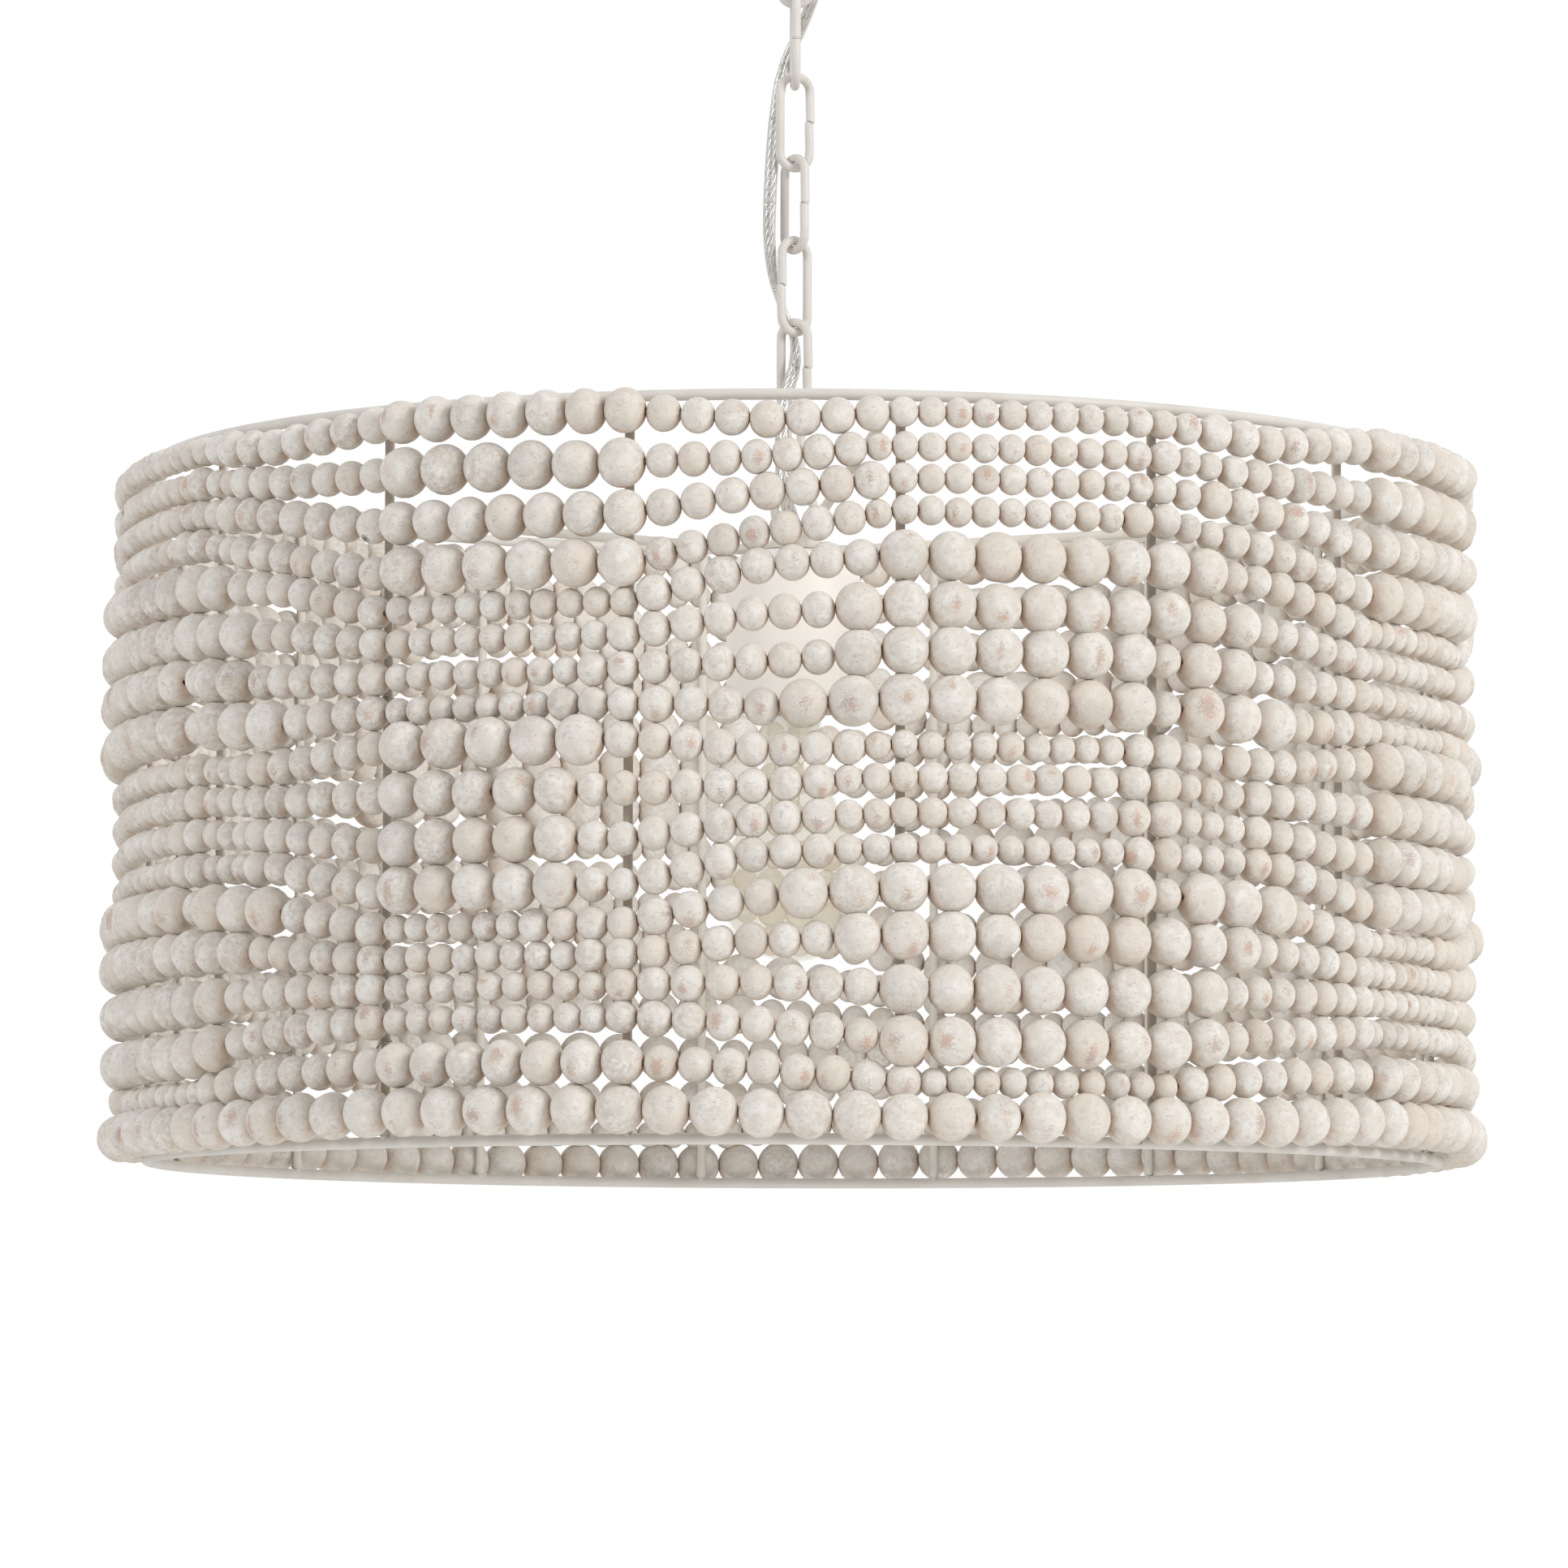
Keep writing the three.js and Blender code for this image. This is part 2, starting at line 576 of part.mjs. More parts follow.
// A row of beads as one closed ring. Four lines run round it, outermost, top, innermost and
// bottom, and the faces between two lines take up each line's next station in turn.
function beadStrand(row) {
  const inside = DRUM_RADIUS + RIB_WIRE / 2 + SEAT_GAP;
  const stations = rowStations(row);
  const line = (list, radiusAt, heightAt) => list.map((at) => ({
    angle: at.angle, radius: radiusAt(at), height: heightAt(at),
  }));
  const back = [];
  for (let i = 0; i < 2 * RIBS; i += 1) {
    const bay = Math.floor(i / 2);
    const share = (i % 2) / 2;
    const height = THREE.MathUtils.lerp(ribRowHeight(bay, row), ribRowHeight(bay + 1, row), share);
    back.push({ angle: (bay + share) * bayAngle, height });
  }
  const middle = (at) => inside + at.bead;
  const lines = [
    line(stations, (at) => middle(at) + at.thickness, (at) => at.height),
    line(stations, middle, (at) => at.height + at.thickness),
    line(back, () => inside, (at) => at.height),
    line(stations, middle, (at) => at.height - at.thickness),
  ];
  const positions = [];
  const starts = [];
  for (const points of lines) {
    starts.push(positions.length / 3);
    for (const { angle, radius, height } of points) {
      positions.push(radius * Math.sin(angle), -radius * Math.cos(angle), height);
    }
  }
  const triangles = [];
  lines.forEach((points, index) => {
    const other = (index + 1) % lines.length;
    triangles.push(...facesBetween(points, starts[index], lines[other], starts[other]));
  });
  return surface(positions, triangles);
}

function facesBetween(first, firstStart, second, secondStart) {
  const angleOf = (points, i) => (i < points.length ? points[i].angle : 2 * Math.PI);
  const at = (points, start, i) => start + (i % points.length);
  const triangles = [];
  let i = 0;
  let j = 0;
  while (i < first.length || j < second.length) {
    const here = at(first, firstStart, i);
    const there = at(second, secondStart, j);
    const firstNext = angleOf(first, i + 1);
    const secondNext = angleOf(second, j + 1);
    if (i < first.length && (j === second.length || firstNext <= secondNext)) {
      triangles.push(here, at(first, firstStart, i + 1), there);
      i += 1;
    } else {
      triangles.push(here, at(second, secondStart, j + 1), there);
      j += 1;
    }
  }
  return triangles;
}

// One stretch of the cord, which follows the whole route between two shares of its length
class Stretch extends THREE.Curve {
  constructor(route, from, to) {
    super();
    this.route = route;
    this.from = from;
    this.to = to;
  }

  getPoint(share) {
    return this.route.getPointAt(THREE.MathUtils.lerp(this.from, this.to, share));
  }
}

function cordStretch(route, length, index) {
  const from = index / CORD_STRETCHES + (index > 0 ? SEAT_GAP / length : 0);
  const to = (index + 1) / CORD_STRETCHES;
  const section = new THREE.Shape();
  for (let i = 0; i < CORD_SIDES; i += 1) {
    const angle = (2 * Math.PI * i) / CORD_SIDES;
    const x = (CORD_SOLID_DIAMETER / 2) * Math.cos(angle);
    const y = (CORD_SOLID_DIAMETER / 2) * Math.sin(angle);
    if (i === 0) {
      section.moveTo(x, y);
    } else {
      section.lineTo(x, y);
    }
  }
  return new THREE.ExtrudeGeometry(section, {
    steps: CORD_STEPS,
    bevelEnabled: false,
    extrudePath: new Stretch(route, from, to),
  });
}

const chandelier = new THREE.Group();

// Pieces fixed to the ceiling
const ceiling = group(chandelier);
piece(ceiling, 'mounting_bar', mountingBar(), zincSteel).position.z = -BAR_THICKNESS;
const canopyNippleZ = threadTop - THREAD_BORE_DEPTH + SEAT_GAP;
piece(ceiling, 'canopy_nipple', nipple(NIPPLE_LENGTH), zincSteel).position.z = canopyNippleZ;
piece(ceiling, 'canopy', canopyDish(), whitePaint);
piece(ceiling, 'canopy_collar', screwCollar(), whitePaint).position.z = canopyFace - SEAT_GAP;
const firstTurn = THREE.MathUtils.degToRad(LINK_TURNS_DEG[0]);
piece(ceiling, 'canopy_loop', canopyLoop(), whitePaint).rotation.z = firstTurn + quarterTurn;

// Chain
const chain = group(chandelier);
LINK_TURNS_DEG.forEach((turn, index) => {
  const link = piece(chain, `chain_link_${index + 1}`, chainLink(), whitePaint);
  link.position.z = firstLinkZ - linkPitch * index;
  link.rotation.z = THREE.MathUtils.degToRad(turn);
});

// Drum, in its own group with the top ring's plane at height zero
const drum = group(chandelier);
drum.position.z = drumZ;
const lastTurn = THREE.MathUtils.degToRad(LINK_TURNS_DEG.at(-1));
piece(drum, 'hub_loop', hubLoop(), whitePaint).rotation.z = lastTurn + quarterTurn;
const hubNippleZ = hubNippleTop - HUB_NIPPLE_LENGTH;
piece(drum, 'hub_nipple', nipple(HUB_NIPPLE_LENGTH), zincSteel).position.z = hubNippleZ;
piece(drum, 'spider', spider(), ribPaint);
piece(drum, 'socket_cup', socketCup(), whitePaint);
piece(drum, 'lamp_socket', lampSocket(), blackResin);
piece(drum, 'bulb_base', lampBase(), brass);
piece(drum, 'bulb_glass', bulbGlass(), amberGlass);
piece(drum, 'bulb_stem', bulbStem(), stemGlass);

for (const [name, height] of [['top_ring', 0], ['bottom_ring', -DRUM_HEIGHT]]) {
  ringArcs().forEach((form, index) => {
    const arc = piece(drum, numbered(name, index), form, whitePaint);
    arc.position.z = height;
    arc.rotation.z = firstRib;
  });
}

const ribEnd = RING_WIRE / 2 + SEAT_GAP;
for (let i = 0; i < RIBS; i += 1) {
  const angle = firstRib + i * bayAngle;
  const form = cylinder(RIB_WIRE / 2, -DRUM_HEIGHT + ribEnd, -ribEnd, WIRE_SIDES);
  const rib = piece(drum, numbered('rib', i), form, ribPaint);
  rib.position.set(DRUM_RADIUS * Math.sin(angle), -DRUM_RADIUS * Math.cos(angle), 0);
  rib.rotation.z = angle;
}

for (let row = 0; row < ROWS; row += 1) {
  piece(drum, numbered('bead_strand', row), beadStrand(row), washedWood).rotation.z = firstRib;
}

// Cord, from the canopy loop's wire way to the hub loop's
const cordRoute = new THREE.CatmullRomCurve3(
  CORD_ROUTE.map(([x, y, z]) => new THREE.Vector3(x, y, z)), false, 'centripetal',
);
cordRoute.arcLengthDivisions = CORD_ROUTE.length * CORD_STEPS;
const cordLength = cordRoute.getLength();
for (let i = 0; i < CORD_STRETCHES; i += 1) {
  piece(chandelier, `cord_${i + 1}`, cordStretch(cordRoute, cordLength, i), clearCord);
}

export default chandelier;
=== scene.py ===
"""Looks of a beaded chandelier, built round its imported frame.

A drum of white-washed wooden beads hangs on a painted chain from a ceiling canopy, with a clear
bulb inside. Everything is in metres in the frame of the solids: the origin on the ceiling, +Z up,
the front towards -Y. Places round the drum are angles from the front towards the right (+X).
"""
import logging
import math
import random
from dataclasses import dataclass
from enum import Enum
from typing import Sequence

import bpy
import numpy as np
from mathutils import Matrix, Vector


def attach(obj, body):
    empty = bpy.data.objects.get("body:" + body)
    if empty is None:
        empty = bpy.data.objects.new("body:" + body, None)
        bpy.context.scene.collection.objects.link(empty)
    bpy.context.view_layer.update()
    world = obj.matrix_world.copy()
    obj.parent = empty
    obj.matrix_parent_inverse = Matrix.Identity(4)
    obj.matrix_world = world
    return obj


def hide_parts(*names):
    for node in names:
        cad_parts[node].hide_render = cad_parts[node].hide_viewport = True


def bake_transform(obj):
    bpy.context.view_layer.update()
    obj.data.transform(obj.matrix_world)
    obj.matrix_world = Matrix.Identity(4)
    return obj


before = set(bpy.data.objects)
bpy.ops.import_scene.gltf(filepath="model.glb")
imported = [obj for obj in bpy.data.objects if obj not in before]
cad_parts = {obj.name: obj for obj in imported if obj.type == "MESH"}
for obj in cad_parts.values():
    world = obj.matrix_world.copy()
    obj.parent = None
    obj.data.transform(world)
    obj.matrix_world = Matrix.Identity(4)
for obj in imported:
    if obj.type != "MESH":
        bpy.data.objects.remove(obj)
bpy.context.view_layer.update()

LOG = logging.getLogger("chandelier")

MM = 0.001
TURN = 2 * math.pi

# The drum's ribs and the height of its top ring, in radians and millimetres
RIBS = 16
FIRST_RIB = math.radians(6.79)
TOP_RING = -305.0

# How a path, a profile and a smooth line are cut
NEARLY_PARALLEL = 0.95
ROUNDING_STEPS = 3
LINE_STEPS = 24

# Depth of a screw thread in millimetres, and the steps round an eye
THREAD_DEPTH = 0.5
EYE_STEPS = 56

# Socket numbers of a Mix node that mixes colours
MIX_SHARE, MIX_FIRST, MIX_SECOND, MIX_RESULT = 0, 6, 7, 2

Point = tuple[float, float, float]
Colour = tuple[float, float, float]
Pair = tuple[float, float]
Facts = dict[str, np.ndarray]
Settings = dict[str, object]
Inputs = dict[str | int, object]


class Body(str, Enum):
    """The bodies that pieces ride on."""

    CEILING = "ceiling"
    DRUM = "drum"


class Slot(str, Enum):
    """Material slots, one for each kind of finish."""

    PAINT = "white_paint"
    RIB = "rib_paint"
    ZINC = "zinc_steel"
    WOOD = "washed_wood"
    RESIN = "socket_resin"
    BRASS = "base_brass"
    GLASS = "bulb_glass"
    CORD = "clear_cord"


# Shaders


class Value:
    """A socket of a shader, with arithmetic that adds the Math nodes for it."""

    def __init__(self, shader: "Shader", socket: bpy.types.NodeSocket) -> None:
        """Wraps a socket.

        Args:
            shader: The shader that the socket belongs to.
            socket: An output socket.
        """
        self.shader = shader
        self.socket = socket

    def math(self, operation: str, *others: "float | Value") -> "Value":
        """Adds a Math node whose first input is this socket.

        Args:
            operation: The node's operation.
            others: Its further inputs.

        Returns:
            The node's output.
        """
        return self.shader.math(operation, self, *others)

    def __add__(self, other: "float | Value") -> "Value":
        """Sum."""
        return self.math("ADD", other)

    __radd__ = __add__

    def __sub__(self, other: "float | Value") -> "Value":
        """Difference."""
        return self.math("SUBTRACT", other)

    def __rsub__(self, other: "float | Value") -> "Value":
        """Reflected difference."""
        return self.shader.math("SUBTRACT", other, self)

    def __mul__(self, other: "float | Value") -> "Value":
        """Product."""
        return self.math("MULTIPLY", other)

    __rmul__ = __mul__

    def above(self, low: float, high: float) -> "Value":
        """A soft mask that is 0 under low and 1 over high.

        Args:
            low: Where the mask leaves 0.
            high: Where it reaches 1.

        Returns:
            The mask.
        """
        settings = {"interpolation_type": "SMOOTHSTEP"}
        inputs = {"Value": self, "From Min": low, "From Max": high}
        return self.shader.add("ShaderNodeMapRange", settings, inputs)


class Shader:
    """One procedural material under construction."""

    def __init__(self, name: str, roughness: float, metallic: float = 0.0) -> None:
        """Starts a material with one Principled shader.

        Args:
            name: The material's name.
            roughness: Its roughness where nothing else is linked.
            metallic: Its metallic value.
        """
        self.material = bpy.data.materials.new(name)
        self.material.use_nodes = True
        self.nodes = self.material.node_tree.nodes
        self.links = self.material.node_tree.links
        self.nodes.clear()
        self.surface = self.nodes.new("ShaderNodeBsdfPrincipled")
        output = self.nodes.new("ShaderNodeOutputMaterial")
        self.links.new(self.surface.outputs["BSDF"], output.inputs["Surface"])
        self.fix(Roughness=roughness, Metallic=metallic)

    def fix(self, **sockets: float | tuple[float, ...]) -> None:
        """Sets sockets of the Principled shader to constants.

        Args:
            sockets: Values by socket name, with an underscore for each space.
        """
        for name, value in sockets.items():
            self.surface.inputs[name.replace("_", " ")].default_value = value

    def feed(self, name: str, value: Value) -> None:
        """Links a value into the Principled shader."""
        self.links.new(value.socket, self.surface.inputs[name])

    def add(self, kind: str, settings: Settings, inputs: Inputs, out: str | int = 0) -> Value:
        """Adds a node, sets it up, fills its inputs and returns one of its outputs.

        Args:
            kind: The node's type.
            settings: Its properties, which are set first.
            inputs: Constants or values by socket name or number.
            out: The output's name or number.

        Returns:
            The output.
        """
        made = self.nodes.new(kind)
        for name, value in settings.items():
            setattr(made, name, value)
        for key, value in inputs.items():
            socket = made.inputs[key]
            if isinstance(value, Value):
                self.links.new(value.socket, socket)
            else:
                socket.default_value = value
        return Value(self, made.outputs[out])

    def math(self, operation: str, *terms: float | Value) -> Value:
        """Adds a Math node over terms, at least one of which is a socket."""
        return self.add("ShaderNodeMath", {"operation": operation}, dict(enumerate(terms)))

    def place(self) -> Value:
        """The point in the piece's own frame, in metres."""
        return self.add("ShaderNodeTexCoord", {}, {}, "Object")

    def facing(self) -> Value:
        """The surface normal in the piece's own frame."""
        return self.add("ShaderNodeTexCoord", {}, {}, "Normal")

    def fact(self, name: str, out: str = "Fac") -> Value:
        """A fact stored on the vertices of the mesh."""
        return self.add("ShaderNodeAttribute", {"attribute_name": name}, {}, out)

    def vector(self, operation: str, *terms: Point | Value, out: str | int = 0) -> Value:
        """Adds a Vector Math node over terms."""
        settings = {"operation": operation}
        return self.add("ShaderNodeVectorMath", settings, dict(enumerate(terms)), out)

    def scaled(self, point: Value, factors: Point) -> Value:
        """A point multiplied along each axis."""
        return self.vector("MULTIPLY", point, factors)

    def noise(
        self, point: Value, scale: float, detail: float = 2.0, roughness: float = 0.5,
    ) -> Value:
        """Smooth noise from 0 to 1.

        Args:
            point: Where it is read.
            scale: Its frequency.
            detail: How many finer layers it has.
            roughness: How strong these are.

        Returns:
            The noise.
        """
        inputs = {"Vector": point, "Scale": scale, "Detail": detail, "Roughness": roughness}
        return self.add("ShaderNodeTexNoise", {}, inputs, "Fac")

    def blend(self, share: float | Value, first: Colour | Value, second: Colour | Value) -> Value:
        """A mix of two colours.

        Args:
            share: How much of the second shows.
            first: The first colour.
            second: The second colour.

        Returns:
            The mixed colour.
        """
        under, over = (c if isinstance(c, Value) else (*c, 1.0) for c in (first, second))
        inputs = {MIX_SHARE: share, MIX_FIRST: under, MIX_SECOND: over}
        return self.add("ShaderNodeMix", {"data_type": "RGBA"}, inputs, MIX_RESULT)

    def raise_surface(self, height: Value, distance: float, strength: float) -> None:
        """Feeds a bump to the shader's normal.

        Args:
            height: The height, about 0 to 1.
            distance: What a height of 1 stands for, in metres.
            strength: The strength of the bump.
        """
        inputs = {"Height": height, "Distance": distance, "Strength": strength}
        self.feed("Normal", self.add("ShaderNodeBump", {}, inputs))


@dataclass(frozen=True)
class WashedWood:
    """Chalky white wash over a turned wooden bead, rubbed through here and there, with painted
    shade.
    """

    wash: Colour = (0.79, 0.745, 0.685)
    thick_wash: Colour = (0.885, 0.865, 0.825)
    greyed: Colour = (0.57, 0.50, 0.44)
    lilac: Colour = (0.61, 0.565, 0.55)
    bare: Colour = (0.64, 0.42, 0.32)
    bare_pink: Colour = (0.52, 0.40, 0.35)
    cream: Colour = (0.74, 0.645, 0.55)
    crack: Colour = (0.30, 0.21, 0.15)
    # Painted shade where a bead meets its neighbour at the bore's mouth
    edge: Colour = (0.52, 0.34, 0.22)
    speck: Colour = (0.20, 0.16, 0.13)
    # Painted shade, darker and warmer, near the bead's ends and on its underside
    recess_shade: Colour = (0.49, 0.34, 0.23)
    roughness: float = 0.82
    gloss: float = 0.25
    relief: float = 0.50 * MM
    relief_strength: float = 0.85

    def material(self) -> bpy.types.Material:
        """Builds the finish from the beads' facts and noises in each bead's own frame.

        Returns:
            The material.
        """
        made = Shader("washed_wood", roughness=self.roughness)
        made.fix(Specular_IOR_Level=self.gloss)
        local = made.fact("bead_place", "Vector")
        tone_and_side_shade, bare, rough, rim, deep, scorch = (
            made.fact(name) for name in ("tone_and_side_shade", "bare", "rough", "rim", "deep", "scorch")
        )

        # Noises: clouds in the wash, the wood's grain, marks of the lathe, fine grit and rag marks
        cloud = made.noise(local, 0.16, 3.0)
        patch = made.noise(local, 0.42, 4.0, 0.6)
        grain = made.noise(made.scaled(local, (0.22, 2.6, 2.6)), 1.0, 3.0, 0.6)
        lathe = made.noise(made.scaled(local, (3.2, 0.12, 0.12)), 1.0, 2.0)
        grit = made.noise(local, 3.4, 2.0, 0.7)
        rag = made.noise(local, 0.95, 3.0, 0.65)
        fibre = made.noise(made.scaled(local, (0.28, 3.8, 3.8)), 1.0, 2.0, 0.5)
        streak = made.noise(made.scaled(local, (0.34, 0.5, 0.5)), 1.0, 2.0)

        # Masks
        smudge = (patch * 0.6 + cloud * 0.4).above(0.54, 0.66)
        bloom = (streak * 0.65 + rag * 0.35).above(0.54, 0.64)
        split = fibre.above(0.66, 0.72) * made.noise(local, 0.30, 1.0).above(0.50, 0.60)
        # Painted shade: darker towards the bead's ends, where it meets its neighbours, and on its
        # underside
        shaded = (deep + (patch - 0.5) * 0.5).above(0.12, 1.05)
        # Painted shade round the bore's mouth, where the bead meets its neighbour
        edge = rim.above(0.30, 1.0) * (patch * 0.8 + 0.35)
        worn = (bare + (rag - 0.5) * 1.5 + (grain - 0.5) * 1.4).above(0.22, 0.95)
        worn = worn * bare.above(0.03, 0.2)
        knot = (scorch + (rag - 0.5) * 1.6).above(0.35, 0.75)
        pits = made.noise(local, 1.15, 1.0).above(0.755, 0.82)

        # Veils over the wash, the lowest first, and how much of each shows
        wood = made.blend(cloud.above(0.4, 0.6), self.bare, self.bare_pink)
        colour = made.blend(cloud.above(0.38, 0.66), self.wash, self.thick_wash)
        for share, veil in (
            # Cream and grey by each bead's tone: a random tone with painted shade that greys the
            # drum's left side
            ((0.42 - tone_and_side_shade).above(0.0, 0.4) * 0.45, self.cream),
            (tone_and_side_shade.above(0.5, 1.0) * patch.above(0.35, 0.7) * 0.6, self.greyed),
            (grain.above(0.45, 0.72) * 0.26, self.greyed),
            (lathe.above(0.55, 0.8) * 0.12, self.greyed),
            (smudge * 0.34, self.greyed),
            (bloom * 0.5, self.lilac),
            (split * 0.6, self.crack),
            # Painted shade near the bead's ends and on its underside
            (shaded * 0.80, self.recess_shade),
            # Painted shade at the bore's mouth
            (edge * 0.55, self.edge),
            (worn * 0.78, wood),
            (knot * 0.9, self.speck),
            (pits * 0.55, self.speck),
        ):
            colour = made.blend(share, colour, veil)
        made.feed("Base Color", colour)
        made.feed("Roughness", 0.88 - worn * 0.14 - cloud * 0.05)

        # Relief: fine grain everywhere, ridges mostly where the wash is crusted, and broad lumps
        ridges = made.noise(local, 1.15, 4.0, 0.65) * (rough.above(0.0, 0.6) * 1.3 + 0.32)
        lumps = made.noise(local, 0.30, 2.0)
        height = grain * 0.26 + lathe * 0.14 + grit * 0.16 + ridges + lumps * 0.9
        height = height - pits * 0.5 - worn * 0.25 - split * 0.35
        made.raise_surface(height, self.relief, self.relief_strength)
        return made.material


@dataclass(frozen=True)
class SprayedPaint:
    """Off-white paint sprayed over steel, a little uneven, chipped here and there."""

    name: str = "white_paint"
    paint: Colour = (0.745, 0.72, 0.675)
    shade: Colour = (0.60, 0.56, 0.50)
    steel: Colour = (0.30, 0.25, 0.21)
    roughness: float = 0.5
    chips: float = 0.68

    def material(self) -> bpy.types.Material:
        """Builds the finish.

        Returns:
            The material.
        """
        made = Shader(self.name, roughness=self.roughness)
        point = made.place()
        cloud = made.noise(point, 55.0, 3.0)
        fleck = made.noise(point, 420.0, 2.0, 0.6)
        colour = made.blend(cloud.above(0.35, 0.75) * 0.5, self.paint, self.shade)
        chip = (fleck * 0.55 + cloud * 0.45).above(self.chips - 0.02, self.chips + 0.03)
        colour = made.blend(chip * 0.7, colour, self.steel)
        colour = made.blend(made.fact("seam").above(0.35, 0.8) * 0.8, colour, self.steel)
        made.feed("Base Color", colour)
        made.feed("Roughness", cloud * 0.15 + (self.roughness - 0.05))
        height = made.noise(point, 900.0, 2.0) * 0.4 + cloud * 0.8 - chip * 0.3
        made.raise_surface(height, 0.12 * MM, 0.7)
        return made.material


@dataclass(frozen=True)
class RibPaint:
    """Paint on the ribs: pale where it faces the inside of the drum, darker taupe where it faces
    out.
    """

    inner: Colour = (0.74, 0.705, 0.64)
    outer: Colour = (0.49, 0.43, 0.365)
    bead_white: Colour = (0.62, 0.58, 0.52)

    def material(self) -> bpy.types.Material:
        """Builds the finish.

        Returns:
            The material.
        """
        made = Shader("rib_paint", roughness=0.6)
        point = made.place()
        radial = made.vector("NORMALIZE", made.scaled(point, (1.0, 1.0, 0.0)))
        facing = made.vector("DOT_PRODUCT", radial, made.facing(), out="Value")
        cloud = made.noise(point, 60.0, 4.0, 0.6)
        fleck = made.noise(point, 300.0, 2.0)
        outside = (facing + (cloud - 0.5) * 0.9).above(-0.35, 0.25)
        smear = (cloud * 0.6 + fleck * 0.4).above(0.54, 0.62)
        colour = made.blend(outside, self.inner, self.outer)
        colour = made.blend(smear * 0.45, colour, self.bead_white)
        made.feed("Base Color", colour)
        made.feed("Roughness", cloud * 0.2 + 0.5)
        made.raise_surface(cloud * 0.8 + fleck * 0.3, 0.2 * MM, 0.7)
        return made.material


@dataclass(frozen=True)
class PlainMetal:
    """Bare or plated metal with fine scratches and a cloudy tarnish."""

    name: str
    colour: Colour
    tarnish: Colour
    roughness: float = 0.32
    scratch: Point = (90.0, 90.0, 900.0)

    def material(self) -> bpy.types.Material:
        """Builds the finish.

        Returns:
            The material.
        """
        made = Shader(self.name, roughness=self.roughness, metallic=1.0)
        point = made.place()
        cloud = made.noise(point, 130.0, 3.0)
        lines = made.noise(made.scaled(point, self.scratch), 1.0, 2.0)
        made.feed("Base Color", made.blend(cloud.above(0.4, 0.75) * 0.5, self.colour, self.tarnish))
        made.feed("Roughness", cloud * 0.2 + lines * 0.1 + (self.roughness - 0.1))
        made.raise_surface(lines, 0.02 * MM, 0.6)
        return made.material


@dataclass(frozen=True)
class MouldedResin:
    """Dark moulded resin of the lamp holder."""

    colour: Colour = (0.035, 0.032, 0.03)
    dust: Colour = (0.16, 0.15, 0.14)

    def material(self) -> bpy.types.Material:
        """Builds the finish.

        Returns:
            The material.
        """
        made = Shader("socket_resin", roughness=0.4)
        point = made.place()
        cloud = made.noise(point, 90.0, 3.0)
        made.feed("Base Color", made.blend(cloud.above(0.5, 0.8) * 0.4, self.colour, self.dust))
        made.feed("Roughness", cloud * 0.2 + 0.32)
        made.raise_surface(made.noise(point, 1500.0, 2.0), 0.03 * MM, 0.5)
        return made.material


@dataclass(frozen=True)
class MilkySheath:
    """Clear soft plastic that has gone slightly milky, with the strands showing through and painted
    shade at its flanks.
    """

    colour: Colour = (0.82, 0.80, 0.76)
    # Painted shade at the cord's flanks, where a clear sheath looks grey by refraction
    flank_shade: Colour = (0.60, 0.575, 0.53)
    alpha: float = 0.15

    def material(self) -> bpy.types.Material:
        """Builds the finish.

        Returns:
            The material.
        """
        made = Shader("clear_cord", roughness=0.2)
        made.fix(Specular_IOR_Level=0.9)
        cloud = made.noise(made.place(), 240.0, 3.0)
        # Painted shade: the flanks of the section are darker and less clear
        flank = made.fact("flank").above(0.78, 1.0)
        made.feed("Base Color", made.blend(flank, self.colour, self.flank_shade))
        made.feed("Alpha", cloud.above(0.35, 0.65) * 0.16 + flank * 0.45 + self.alpha)
        made.feed("Roughness", cloud * 0.12 + 0.08)
        made.raise_surface(cloud, 0.5 * MM, 0.6)
        return made.material


@dataclass(frozen=True)
class ThinGlass:
    """Blown glass too thin to bend the view, with a straw tint and a soft haze."""

    colour: Colour = (0.975, 0.885, 0.68)
    haze: Colour = (0.955, 0.905, 0.79)
    alpha: float = 0.19
    roughness: float = 0.05

    def material(self) -> bpy.types.Material:
        """Builds the finish.

        Returns:
            The material.
        """
        made = Shader("bulb_glass", roughness=self.roughness)
        made.fix(Specular_IOR_Level=0.7)
        cloud = made.noise(made.place(), 60.0, 2.0)
        made.feed("Base Color", made.blend(cloud.above(0.35, 0.65), self.colour, self.haze))
        made.feed("Alpha", cloud.above(0.3, 0.7) * 0.08 + self.alpha)
        made.feed("Roughness", cloud * 0.05 + self.roughness)
        return made.material


@dataclass(frozen=True)
class FloorPaper:
    """Plain pale paper under the chandelier."""

    colour: Colour = (0.72, 0.715, 0.70)
    lighter: Colour = (0.76, 0.755, 0.74)

    def material(self) -> bpy.types.Material:
        """Builds the finish.

        Returns:
            The material.
        """
        made = Shader("floor_paper", roughness=0.9)
        cloud = made.noise(made.place(), 3.0)
        made.feed("Base Color", made.blend(cloud, self.colour, self.lighter))
        return made.material


# Meshes


